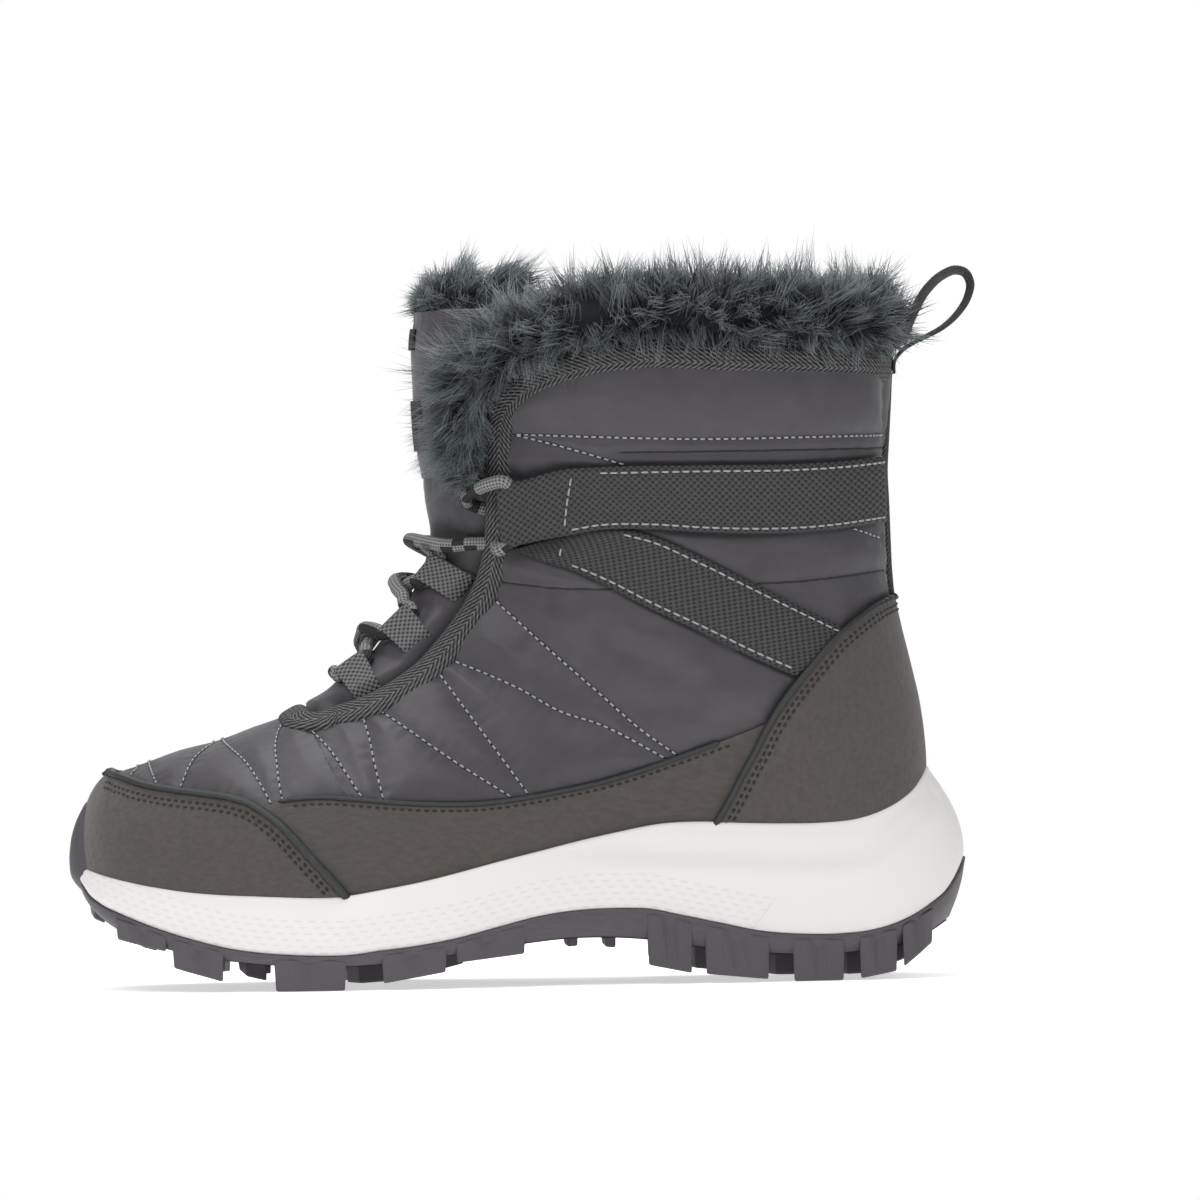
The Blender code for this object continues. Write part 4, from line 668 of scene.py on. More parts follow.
COVERED = [
    np.concatenate([side_points([(-0.1, 0.349)]), low_line(TOE_CAP_EDGE), side_points([(-0.1, 0.0)])]),
    low_line(FOXING_EDGE),
    np.concatenate([side_points(COUNTER_EDGE), side_points([(1.1, 0.604), (1.1, 0.0), (0.690, 0.0)])]),
    np.concatenate([side_points(STRAP_TOP), side_points(STRAP_BOTTOM)[::-1]]),
    np.concatenate([side_points(STAY_TOP), side_points(STAY_BOTTOM)[::-1]]),
]
HELD_LINES = side_lines(
    QUILT_ROWS + BLIND_SEAMS + [TOE_CAP_EDGE, FOXING_EDGE, COUNTER_EDGE,
                                STRAP_TOP, STRAP_BOTTOM, STAY_TOP, STAY_BOTTOM, THROAT_LINE,
                                [(0.657, 1.0084), (0.800, 1.003), (0.925, 1.000)],
                                [(0.9145, 0.985), (0.912, 0.80), (0.915, 0.62)]]
)
# Soft folds where the ankle bends: seen from the side, with their depth and their width.
ANKLE_FOLDS = [
    ([(0.600, 0.560), (0.650, 0.505), (0.705, 0.470)], 0.0010, 0.0050),
    ([(0.560, 0.585), (0.610, 0.560), (0.660, 0.552)], -0.0007, 0.0045),
    ([(0.640, 0.440), (0.700, 0.430), (0.750, 0.400)], 0.0008, 0.0050),
    ([(0.520, 0.520), (0.560, 0.480), (0.590, 0.430)], 0.0006, 0.0045),
    ([(0.700, 0.600), (0.720, 0.560), (0.735, 0.530)], 0.0005, 0.0040),
    ([(0.850, 0.700), (0.820, 0.680), (0.770, 0.668)], 0.0006, 0.0040),
    ([(0.880, 0.600), (0.850, 0.590), (0.800, 0.600)], 0.0006, 0.0038),
    ([(0.400, 0.440), (0.430, 0.400), (0.450, 0.350)], 0.0005, 0.0045),
    ([(0.300, 0.420), (0.310, 0.380), (0.320, 0.340)], 0.0004, 0.0040),
]


def quilt_lift(points, swell=QUILT_SWELL, held=HELD_LINES, covered=COVERED):
    """How far the nylon stands off the last at points of it."""
    gap, run = from_lines(points, held)
    hidden = np.zeros(len(points), bool)
    for outline in covered:
        hidden |= within(points[:, [0, 2]], outline)
    full = 1 - np.exp(-gap / QUILT_REACH)
    full *= 0.45 + 0.55 * np.clip(((points[:, 0] - DATUM[0]) / BOOT_LENGTH + 0.5 - 0.22) / 0.20, 0, 1)
    wave = np.sin(run * 1150 + 1.7 * np.sin(run * 410)) * np.exp(-gap / 0.0035) * np.clip(gap / 0.0012, 0, 1)
    dents = np.array([noise.noise(Vector(p) * 60) + 0.2 * noise.noise(Vector(p) * 150) for p in points])
    lift = swell * full + PUCKER * wave + 0.00025 * dents * full
    for table, depth, width in ANKLE_FOLDS:
        far, _ = from_lines(points, side_lines([table], 0.002))
        lift -= depth * np.exp(-((far / width) ** 2))
    return np.where(hidden, -0.0001, np.maximum(lift, 0.0))


even = np.linspace(0.0, 1.0, 3000)
rim_run = np.concatenate([[0], np.cumsum(np.linalg.norm(np.diff(last_point(even, 0.85, LATERAL), axis=0), axis=1))])
SHELL_STATIONS = np.interp(np.linspace(0, rim_run[-1], SHELL_ROWS), rim_run, even)
opening = THROAT_START + np.sort(np.concatenate([[0.0, 0.002], 0.04 * np.linspace(0.1, 1, 8) ** 2]))
SHELL_STATIONS = np.unique(np.concatenate([SHELL_STATIONS, opening]))


def upper_grids(first_share, drop, rows, columns):
    points, quads, count = [], [], 0
    for side in SIDES:
        for q in rows:
            start = float(throat_share(q)) if q > THROAT_START else 0.0
            points.append(section_run(q, side, max(start, first_share), share_below_feather(q, drop), columns))
        quads.append(grid_quads(len(rows), columns + 1, count, side == MEDIAL))
        count += len(rows) * (columns + 1)
    return np.concatenate(points), np.concatenate(quads)


shell = shape("quilted_shell", *upper_grids(0.0, LASTING_DEPTH, SHELL_STATIONS, SHELL_COLUMNS), nylon)
shell = facing_out(welded(shell))
shell_points, shell_normals = coordinates(shell), vertex_normals(shell)
set_coordinates(shell, shell_points + shell_normals * quilt_lift(shell_points)[:, None])
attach(shell, "root")
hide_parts("upper")
ON_SHELL = Ground(shell)

# Lining: short grey-blue pile glued to the padding. It shows inside the shaft and at the throat.


def grained(name, roughness, scale, detail, stops, strength, distance):
    """A finish whose colour and bump both follow one noise."""
    made, nodes, links, shader = new_material(name, roughness)
    grain = noise_node(nodes, links, scale, detail).outputs["Fac"]
    tone = ramp_node(nodes, links, grain, stops)
    finished(shader, links, tone.outputs["Color"], bump_node(nodes, links, grain, strength, distance))
    return made


PILE_STOPS = [(0.30, (0.018, 0.023, 0.026)), (0.55, (0.045, 0.056, 0.061)), (0.80, (0.110, 0.128, 0.136))]
pile = grained("lining_pile", 0.95, 420.0, 5.0, PILE_STOPS, 0.9, 0.0022)
LINING_INSET = 0.0034
lining = facing_out(welded(shape("pile_lining", *upper_grids(0.0, 0.0180, SHELL_STATIONS[::4], 24), pile)))
lining_points, lining_normals = coordinates(lining), vertex_normals(lining)
set_coordinates(lining, lining_points - lining_normals * LINING_INSET)
lining.data.flip_normals()
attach(lining, "root")

# Thread: lockstitch rows, each stitch a short bar of twisted thread that dives into its two needle holes.


def thread_finish(name, colour, rough):
    stops = [(0.3, tuple(0.55 * c for c in colour)), (0.7, tuple(1.25 * c for c in colour))]
    return grained(name, rough, 3000.0, 1.0, stops, 0.5, 0.0002)


light_thread = thread_finish("light_thread", (0.42, 0.42, 0.43), 0.6)
grey_thread = thread_finish("grey_thread", (0.17, 0.17, 0.175), 0.6)
# Black thread for the overlays' stitching; its colour is also used for the painted shade lines along the seams.
dark_thread_and_seam_shade = thread_finish("dark_thread_and_seam_shade", (0.012, 0.012, 0.013), 0.5)


def stitch_bars(path, normals, pitch, length, thickness, lift, sides=4):
    """Points and quads of a row of stitches along a path on a surface."""
    run = path_run(path)
    count = int(run[-1] / pitch)
    if count < 1:
        return np.zeros((0, 3)), np.zeros((0, 4), int)
    middles = (np.arange(count) + 0.5) * run[-1] / count
    shares = np.array([-0.5, -0.3, 0.3, 0.5])
    heights = np.array([-1.0, 0.5, 0.5, -1.0]) * thickness / 2 + lift
    widths = np.array([0.6, 1.0, 1.0, 0.6]) * thickness / 2
    at = middles[:, None] + shares[None, :] * length

    spots, outs = read_at(path, run, at), unit(read_at(normals, run, at))
    ways = unit(read_at(np.gradient(path, axis=0), run, at))
    across = np.cross(ways, outs)
    turn = np.linspace(0, 2 * math.pi, sides, endpoint=False)
    rings = (
        (spots + outs * heights[None, :, None])[:, :, None, :]
        + across[:, :, None, :] * (np.cos(turn) * 1.0)[None, None, :, None] * widths[None, :, None, None]
        + outs[:, :, None, :] * (np.sin(turn) * 0.8)[None, None, :, None] * widths[None, :, None, None]
    )
    points = rings.reshape(-1, 3)
    base = np.arange(count)[:, None, None] * (4 * sides)
    i = np.arange(3)[None, :, None] * sides
    j = np.arange(sides)[None, None, :]
    k = (j + 1) % sides
    first = base + i
    quads = np.stack(np.broadcast_arrays(first + j, first + k, first + sides + k, first + sides + j), axis=-1)
    ends = np.array([[3, 2, 1, 0]]) + base.reshape(-1, 1)
    tips = np.array([[0, 1, 2, 3]]) + 3 * sides + base.reshape(-1, 1)
    return points, np.concatenate([quads.reshape(-1, 4), ends, tips])


ABOVE = 0.0050


def stitched(name, rows, finish, pitch=0.0034, length=0.0026, thickness=0.00062, lift=0.0001, above=ABOVE):
    """One piece of thread for several rows; each row is (path, ground)."""
    points, quads, count = [], [], 0
    for path, ground in rows:
        spots, normals = ground.near(ON_LAST.over(path, above))
        p, f = stitch_bars(spots, normals, pitch, length, thickness, lift)
        points.append(p)
        quads.append(f + count)
        count += len(p)
    made = shape(name, np.concatenate(points), np.concatenate(quads), finish)
    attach(made, "root")
    return made


def side_row(table, side, trim_start=0.0, trim_end=0.0, step=0.0008):
    """A line on the last's side, with both ends cut back by a few millimetres."""
    flat = side_points(table)
    length = np.linalg.norm(np.diff(flat, axis=0), axis=1).sum()
    path = last_side(rounded(flat, max(12, int(length / step))), side)
    run = path_run(path)
    at = np.linspace(trim_start, run[-1] - trim_end, max(12, int(run[-1] / step)))
    return read_at(path, run, at)


stitched("quilt_stitches", [(side_row(row, side, 0.001, 0.001), ON_SHELL) for row in QUILT_ROWS for side in SIDES],
         light_thread, 0.0024, 0.00175, 0.00060, 0.00020, above=0.0)

# Binding: a braid folded over the raw edge of the throat and the collar, sewn through near its outer edge. Its
# face reads as a herringbone of light yarns, with painted shade in the dark gaps between them.

BRAID_SECTION = [
    (-0.1, 8.6), (0.9, 8.3), (1.6, 7.4), (2.0, 5.6), (2.1, 3.4), (2.0, 1.4), (1.4, 0.0), (0.2, -0.9), (-1.4, -1.2),
    (-2.8, -0.8), (-3.7, 0.6), (-4.1, 2.8), (-3.9, 5.4),
]
BRAID_STEPS = 760
FULL_TURN = 6.2832


def woven_group(name, inputs, outputs):
    """An empty node group with its sockets, and the map that it is given split into along and across."""
    made = bpy.data.node_groups.new(name, "ShaderNodeTree")
    for label, value in inputs:
        socket = made.interface.new_socket(name=label, in_out="INPUT", socket_type="NodeSocketFloat")
        socket.default_value = value
    made.interface.new_socket(name="Along and across", in_out="INPUT", socket_type="NodeSocketVector")
    for label in outputs:
        made.interface.new_socket(name=label, in_out="OUTPUT", socket_type="NodeSocketFloat")
    given, result = made.nodes.new("NodeGroupInput"), made.nodes.new("NodeGroupOutput")
    split = made.nodes.new("ShaderNodeSeparateXYZ")
    made.links.new(given.outputs["Along and across"], split.inputs["Vector"])
    return made, given, result, split


def between(nodes, links, value, low, high):
    """A value's place between two limits, which may run downwards, as 0 to 1."""
    made = nodes.new("ShaderNodeMapRange")
    made.inputs["From Min"].default_value = low
    made.inputs["From Max"].default_value = high
    links.new(value, made.inputs["Value"])
    return made.outputs["Result"]


def herringbone_group():
    """Slanted yarns that meet along the middle of a ribbon, as a height and a painted shade that is darkest in the
    gaps between the yarns.
    """
    made, given, result, split = woven_group(
        "herringbone", (("Yarns per metre", 500.0), ("Slant", 1.2), ("Middle", 0.0045)), ("Height", "Shade"))
    nodes, links = made.nodes, made.links
    maths = maths_in(nodes, links)
    aside = maths("ABSOLUTE", maths("SUBTRACT", split.outputs["Y"], given.outputs["Middle"]))
    slanted = maths("ADD", split.outputs["X"], maths("MULTIPLY", aside, given.outputs["Slant"]))
    phase = maths("MULTIPLY", slanted, given.outputs["Yarns per metre"])
    wave = maths("SINE", maths("MULTIPLY", phase, FULL_TURN))
    second = maths("SINE", maths("MULTIPLY", maths("MULTIPLY", aside, given.outputs["Yarns per metre"]), 9.0))
    rough = noise_node(nodes, links, 900.0, 3.0, given.outputs["Along and across"])
    height = maths("ADD", maths("MULTIPLY", wave, 0.42), maths("MULTIPLY", second, 0.16))
    uneven = maths("MULTIPLY", maths("SUBTRACT", rough.outputs["Fac"], 0.5), 0.9)
    height = maths("ADD", maths("ADD", height, 0.5), uneven)
    links.new(height, result.inputs["Height"])
    links.new(between(nodes, links, height, 0.1, 1.0), result.inputs["Shade"])
    return made


HERRINGBONE = herringbone_group()


def along_across(nodes):
    """The piece's own map: metres along it and across it."""
    place = nodes.new("ShaderNodeUVMap")
    place.uv_map = "along_across"
    return place.outputs["UV"]


def braid_finish(name, dark, light, yarns, slant, middle, depth=0.0006):
    made, nodes, links, shader = new_material(name, 0.8)
    plait = nodes.new("ShaderNodeGroup")
    plait.node_tree = HERRINGBONE
    plait.inputs["Yarns per metre"].default_value = yarns
    plait.inputs["Slant"].default_value = slant
    plait.inputs["Middle"].default_value = middle
    links.new(along_across(nodes), plait.inputs["Along and across"])
    # The ramp's dark end is painted shade in the gaps between the yarns; its light end is the yarn's colour.
    tone = ramp_node(nodes, links, plait.outputs["Shade"],
                     [(0.0, dark), (0.5, tuple((a + b) / 2.6 for a, b in zip(dark, light))), (1.0, light)])
    finished(shader, links, tone.outputs["Color"], bump_node(nodes, links, plait.outputs["Height"], 0.8, depth))
    return made


braid = braid_finish("binding_braid", (0.003, 0.003, 0.0035), (0.145, 0.142, 0.142), 520.0, 1.5, 0.0046)


def rim_path(count):
    """The edge of the opening all the way round: outer side from the vamp to the back, and the inner side back."""
    stations = np.concatenate([np.linspace(THROAT_START, THROAT_START + 0.05, 60), np.linspace(0.47, 0.93, 160)[1:],
                               np.linspace(0.932, 1.0, 120)])
    stations = np.unique(stations[stations >= THROAT_START])
    downs = np.linspace(float(throat_share(1.0)), 1, 200)[1:]
    halves = [
        np.concatenate([last_point(stations, throat_share(stations), side), last_point(1.0, downs, side)])
        for side in SIDES
    ]
    return resample(np.concatenate([halves[0], halves[1][-2::-1]]), count)


def rim_frames(count):
    """Points of the opening's edge with the way out of the boot and the way on to the upper."""
    path = rim_path(count + 1)[:-1]
    run = unit(np.roll(path, -3, axis=0) - np.roll(path, 3, axis=0))
    _, outs = ON_LAST.near(path)
    outs = sum(np.roll(outs, turned, axis=0) for turned in (2, 1, 0, -1, -2))
    outs -= run * (outs * run).sum(1)[:, None]
    outs = unit(outs)
    return path, outs, np.cross(run, outs)


def swept(name, path, outs, across, section, finish, closed=True):
    """A section in millimetres, (out, across), carried along a path."""
    section = np.array(section, float) / 1000
    rows, columns = len(path), len(section)
    points = path[:, None] + outs[:, None] * section[None, :, :1] + across[:, None] * section[None, :, 1:]
    run = path_run(path)
    round_section = path_run(section)
    uv = grid_map(run, round_section)
    quads = grid_quads(rows, columns)
    if closed:
        j = np.arange(columns - 1)
        last = (rows - 1) * columns
        quads = np.concatenate([quads, np.stack([last + j, last + j + 1, j + 1, j], axis=1)])
    return shape(name, points, quads, finish, uv=uv)


braid_path, braid_outs, braid_across = rim_frames(BRAID_STEPS)
binding = swept("edge_braid", braid_path, braid_outs, braid_across,
                rounded(BRAID_SECTION, 22), braid)
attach(binding, "root")
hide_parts("edge_binding")

# Overlays: brushed leather-like panels round the bottom of the upper. The toe cap and the heel counter lie over the
# foxing, each with a rolled dark edge and rows of black stitching; all three go down into the midsole's cup.

nubuck, nodes, links, shader = new_material("brushed_leather", 0.82)
shader.inputs["Sheen Weight"].default_value = 0.15
leather_cloud = noise_node(nodes, links, 40.0, 4.0)
leather_speck = noise_node(nodes, links, 1150.0, 3.0)
leather_tone = ramp_node(nodes, links, leather_cloud.outputs["Fac"],
                         [(0.30, (0.0495, 0.0430, 0.0395)), (0.70, (0.0680, 0.0595, 0.0545))])
leather_dots = ramp_node(nodes, links, leather_speck.outputs["Fac"],
                         [(0.34, (0.35, 0.35, 0.35)), (0.45, (1.0, 1.0, 1.0)), (0.58, (1.05, 1.05, 1.05)),
                          (0.70, (1.7, 1.66, 1.6))])
leather_colour = mixed_node(nodes, links, leather_tone.outputs["Color"], leather_dots.outputs["Color"], 0.8)
leather_bump = bump_node(nodes, links, leather_speck.outputs["Fac"], 0.25, 0.0003)
leather_wave = bump_node(nodes, links, leather_cloud.outputs["Fac"], 0.3, 0.0012, leather_bump.outputs["Normal"])
finished(shader, links, leather_colour, leather_wave)

ROLLED_STOPS = [(0.3, (0.007, 0.009, 0.009)), (0.75, (0.030, 0.034, 0.033))]
rolled = grained("rolled_edge", 0.5, 700.0, 3.0, ROLLED_STOPS, 0.4, 0.0003)

OVERLAY_DEPTH = 0.0055
cap_share, foxing_share, counter_share = (edge_share(line) for line in (TOE_CAP_EDGE, FOXING_EDGE, COUNTER_EDGE))
cap_ridge = float(fan_line(TOE_CAP_EDGE)[0][0])


def cap_top(station):
    return float(cap_share(station)) if station > cap_ridge else 0.0


def thickened(made, thickness):
    """A sheet given its thickness inwards, put into its mesh."""
    wall = made.modifiers.new("wall", "SOLIDIFY")
    wall.thickness = thickness
    wall.offset = -1
    graph = bpy.context.evaluated_depsgraph_get()
    baked = bpy.data.meshes.new_from_object(made.evaluated_get(graph))
    made.modifiers.clear()
    made.data = baked
    return made


def overlay(name, stations, first, last, columns, lift, thickness, sides=SIDES, node=None):
    """A panel of the last from one edge to another, standing off it by its lift, with soft dents."""
    points, quads, count = [], [], 0
    for side in sides:
        for q in stations:
            points.append(section_run(q, side, first(q), last(q), columns))
        quads.append(grid_quads(len(stations), columns + 1, count, side == MEDIAL))
        count += len(stations) * (columns + 1)
    made = facing_out(welded(shape(name, np.concatenate(points), np.concatenate(quads), nubuck)))
    spots, normals = coordinates(made), vertex_normals(made)
    dents = np.array([noise.noise(Vector(p) * 45) + 0.4 * noise.noise(Vector(p) * 130) for p in spots])
    set_coordinates(made, spots + normals * (lift + 0.00022 * dents)[:, None])
    thickened(made, thickness)
    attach(made, "root")
    if node:
        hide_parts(node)
    return made


def below(station):
    return share_below_feather(station, OVERLAY_DEPTH)


cap_scan = np.linspace(*fan_line(TOE_CAP_EDGE)[0][[0, -1]], 300)
cap_end = float(max(q for q in cap_scan if below(q) - float(cap_share(q)) > 0.006))
cap_stations = np.concatenate([np.linspace(0.0, 0.12, 28), np.linspace(0.125, cap_end, 80)])
toe_cap = overlay("toe_cap_leather", cap_stations, cap_top, below, 26, 0.0024, 0.0016, node="toe_cap")

counter_scan = np.linspace(*fan_line(COUNTER_EDGE)[0][[0, -1]], 300)
counter_first = float(min(q for q in counter_scan if below(q) - float(counter_share(q)) > 0.006))
counter_last = float(max(q for q in counter_scan if counter_share(q) < 0.9995))
counter_stations = np.linspace(counter_first, counter_last, 104)
heel_counter = overlay("heel_counter_leather", counter_stations, lambda q: float(counter_share(q)), below, 30, 0.0024,
                       0.0016, node="heel_counter")

foxing_scan = fan_line(FOXING_EDGE)[0]
foxing_stations = np.linspace(foxing_scan[0], foxing_scan[-1], 120)


def foxing_low(station):
    low = below(station)
    if station > counter_scan[0]:
        low = min(low, float(counter_share(station)) + 0.03)
    return max(low, float(foxing_share(station)) + 0.004)


for side, word in SIDE_NAMES:
    overlay(f"foxing_leather_{word}", foxing_stations, lambda q: float(foxing_share(q)), foxing_low, 22,
            0.0013, 0.0009, sides=(side,), node=f"foxing_{word}")


def tube(path, outs, wide, high, sides=8):
    """Points and quads of a closed rod of oval section along a path, rounded off at both ends."""
    way = unit(np.gradient(path, axis=0))
    outs = outs - way * (outs * way).sum(1)[:, None]
    outs = unit(outs)
    across = np.cross(way, outs)
    turn = np.linspace(0, 2 * math.pi, sides, endpoint=False)
    count = len(path)
    swell = np.ones(count)
    swell[0] = swell[-1] = 0.05
    swell[1] = swell[-2] = 0.75
    rings = (path[:, None] + across[:, None] * (np.cos(turn)[None, :, None] * wide * swell[:, None, None])
             + outs[:, None] * (np.sin(turn)[None, :, None] * high * swell[:, None, None]))
    i = np.arange(count - 1)[:, None] * sides
    j = np.arange(sides)[None, :]
    k = (j + 1) % sides
    quads = np.stack(np.broadcast_arrays(i + j, i + k, i + sides + k, i + sides + j), axis=-1).reshape(-1, 4)
    run = path_run(path)
    uv = np.stack(np.broadcast_arrays(run[:, None], turn[None, :] / (2 * math.pi)), axis=-1)
    return rings.reshape(-1, 3), quads, uv.reshape(-1, 2)


def rods(name, runs, finish, wide, high, lift, sides=8, above=ABOVE):
    """Rolled edges, cords and dark lines of painted seam shade: each run is (path, ground), raised by one lift for
    all.
    """
    points, quads, uvs, count = [], [], [], 0
    for path, ground in runs:
        spots, normals = ground.near(ON_LAST.over(path, above))
        p, f, uv = tube(spots + normals * lift, normals, wide, high, sides)
        points.append(p)
        quads.append(f + count)
        uvs.append(uv)
        count += len(p)
    made = shape(name, np.concatenate(points), np.concatenate(quads), finish, uv=np.concatenate(uvs))
    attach(made, "root")
    return made


def moved_line(table, distance):
    """The same side outline moved sideways, in shares; a positive distance is downwards for one that runs back."""
    flat = rounded(side_points(table), 60)
    way = unit(np.gradient(flat, axis=0))
    moved = flat + np.stack([way[:, 1], -way[:, 0]], axis=1) * distance
    return np.stack([(moved[:, 0] - DATUM[0]) / BOOT_LENGTH + 0.5, moved[:, 1] / COLLAR_HEIGHT], axis=1)


ON_CAP, ON_COUNTER = Ground(toe_cap), Ground(heel_counter)
ON_FOXING = {side: Ground(bpy.data.objects[f"foxing_leather_{word}"]) for side, word in SIDE_NAMES}
# Dark lines of painted shade in the troughs along every quilting row and blind seam, in the black thread's colour.
rods("seam_shade_lines", [(side_row(row, side), ON_SHELL) for row in QUILT_ROWS + BLIND_SEAMS for side in SIDES],
     dark_thread_and_seam_shade, 0.00030, 0.00030, 0.0, 4, above=0.0)
cap_edge_half, cap_edge_other = (
    [last_point(q, cap_top(q), side) for q in np.linspace(cap_ridge + 0.0005, cap_end - 0.004, 150)]
    for side in SIDES)
cap_edge = resample(np.array(cap_edge_half[::-1] + cap_edge_other), 320)
rods("toe_cap_edge", [(cap_edge, ON_CAP)], rolled, 0.0016, 0.0010, 0.0001)
counter_half, counter_other = (
    [last_point(q, float(counter_share(q)), side) for q in np.linspace(counter_first + 0.003, counter_last, 150)]
    for side in SIDES)
counter_edge = resample(np.array(counter_half + counter_other[::-1]), 320)
rods("heel_counter_edge", [(counter_edge, ON_COUNTER)], rolled, 0.0011, 0.0009, 0.0)
rods("foxing_edge", [(side_row(FOXING_EDGE[1:-1], side), ON_FOXING[side]) for side in SIDES], rolled,
     0.0009, 0.0007, 0.0, 6)

cap_rows = []
for distance in (0.0029, 0.0044):
    inner = moved_line(TOE_CAP_EDGE[1:], distance)
    cap_rows += [(side_row(inner, side, 0.001, 0.010), ON_CAP) for side in SIDES]
stitched("toe_cap_stitches", cap_rows, dark_thread_and_seam_shade, 0.0025, 0.0017, 0.00070, 0.0)
counter_rows = []
for distance in (0.0027, 0.0042):
    inner = moved_line(COUNTER_EDGE, distance)
    counter_rows += [(side_row(inner, side, 0.012, 0.002), ON_COUNTER) for side in SIDES]
stitched("heel_counter_stitches", counter_rows, dark_thread_and_seam_shade, 0.0025, 0.0017, 0.00070, 0.0)
foxing_rows = [(side_row(moved_line(FOXING_EDGE[1:], 0.0020), side, 0.004, 0.012), ON_FOXING[side]) for side in SIDES]
stitched("foxing_stitches", foxing_rows, dark_thread_and_seam_shade, 0.0025, 0.0017, 0.00060, 0.0)

# Webbing: woven tape. The level strap and the slanted stay are sewn down along both edges and the strap ends in the
# top tunnel for the lace; three short tapes on either side of the throat are folded into tunnels.


def webbing_group():
    """Plain weave of thick round yarns, seen as rows of raised ovals with painted shade in the holes between them."""
    made, given, result, split = woven_group(
        "webbing_weave", (("Yarns per metre", 1100.0), ("Skew", 0.25)), ("Height", "Hole_shade"))
    nodes, links = made.nodes, made.links
    maths = maths_in(nodes, links)
    along = maths("ADD", split.outputs["X"], maths("MULTIPLY", split.outputs["Y"], given.outputs["Skew"]))
    u = maths("MULTIPLY", maths("MULTIPLY", along, given.outputs["Yarns per metre"]), FULL_TURN)
    v = maths("MULTIPLY", maths("MULTIPLY", split.outputs["Y"], given.outputs["Yarns per metre"]), FULL_TURN)
    ribs = maths("MULTIPLY", maths("COSINE", u), maths("COSINE", v))
    level = maths("ADD", maths("MULTIPLY", ribs, 0.5), 0.5)
    links.new(level, result.inputs["Height"])
    links.new(between(nodes, links, level, 0.66, 0.10), result.inputs["Hole_shade"])
    return made


WEAVE = webbing_group()


def webbing_finish(name, yarn, hole_shade, count, skew, depth=0.0005):
    made, nodes, links, shader = new_material(name, 0.72)
    weave = nodes.new("ShaderNodeGroup")
    weave.node_tree = WEAVE
    weave.inputs["Yarns per metre"].default_value = count
    weave.inputs["Skew"].default_value = skew
    links.new(along_across(nodes), weave.inputs["Along and across"])
    # The holes between the yarns are painted near black: painted shade; the yarn colour is the tape's own.
    tone = ramp_node(nodes, links, weave.outputs["Hole_shade"], [(0.0, yarn), (1.0, hole_shade)])
    patch = noise_node(nodes, links, 55.0, 3.0)
    shade = ramp_node(nodes, links, patch.outputs["Fac"], [(0.3, (0.72, 0.72, 0.72)), (0.7, (1.15, 1.15, 1.15))])
    colour = mixed_node(nodes, links, tone.outputs["Color"], shade.outputs["Color"], 1.0)
    finished(shader, links, colour, bump_node(nodes, links, weave.outputs["Height"], 0.9, depth))
    return made


strap_webbing = webbing_finish("strap_webbing", (0.050, 0.050, 0.051), (0.002, 0.002, 0.002), 480.0, 0.0)
tab_webbing = webbing_finish("tab_webbing", (0.15, 0.15, 0.155), (0.008, 0.008, 0.009), 520.0, 0.0)
WEB_THICKNESS = 0.0014


def ribbon(name, grid, uv, finish, thickness, ground, lift, node, edge=0.0006):
    """Woven tape on the boot: a fine sheet with softened edges, given its thickness."""
    rows, columns = grid.shape[:2]
    spots, normals = ground.near(grid.reshape(-1, 3))
    columns_share = np.linspace(0, 1, columns)
    round_off = 1 - np.exp(-np.minimum(columns_share, 1 - columns_share) * columns / 1.6)
    height = np.broadcast_to(lift + thickness * 0.25 + edge * (round_off - 1), (rows, columns)).ravel()
    points = spots + normals * height[:, None]
    made = facing_out(shape(name, points, grid_quads(rows, columns), finish, uv=uv))
    thickened(made, thickness)
    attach(made, "root")
    if node:
        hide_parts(node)
    return made


def side_band(side, upper_edge, lower_edge, rows, columns):
    """A grid on the last's side between two outlines."""
    one = rounded(side_points(upper_edge), rows)
    two = rounded(side_points(lower_edge), rows)
    share = np.linspace(0, 1, columns)[None, :, None]
    flat = one[:, None] + (two - one)[:, None] * share
    grid = last_side(flat, side)
    along = path_run((one + two) / 2)
    width = np.linalg.norm(two - one, axis=1).mean()
    uv = grid_map(along, np.linspace(0, width, columns))
    return grid, uv


STRAP_END_TOP = STRAP_TOP[:-1] + [(0.9075, 0.825)]
STRAP_END_BOTTOM = STRAP_BOTTOM[:-1] + [(0.9085, 0.720)]
for side, word in SIDE_NAMES:
    grid, uv = side_band(side, STAY_TOP, STAY_BOTTOM, 110, 12)
    ribbon(f"stay_webbing_{word}", grid, uv, strap_webbing, WEB_THICKNESS, ON_LAST, 0.0018, f"stay_{word}")
    grid, uv = side_band(side, STRAP_END_TOP, STRAP_END_BOTTOM, 150, 14)
    strap_lift = np.interp(np.linspace(0, 1, 150), [0, 0.10, 0.20, 1], [0.0062, 0.0056, 0.0030, 0.0026])
    ribbon(f"strap_webbing_{word}", grid, uv, strap_webbing, WEB_THICKNESS, ON_LAST,
           strap_lift[:, None], f"strap_{word}")

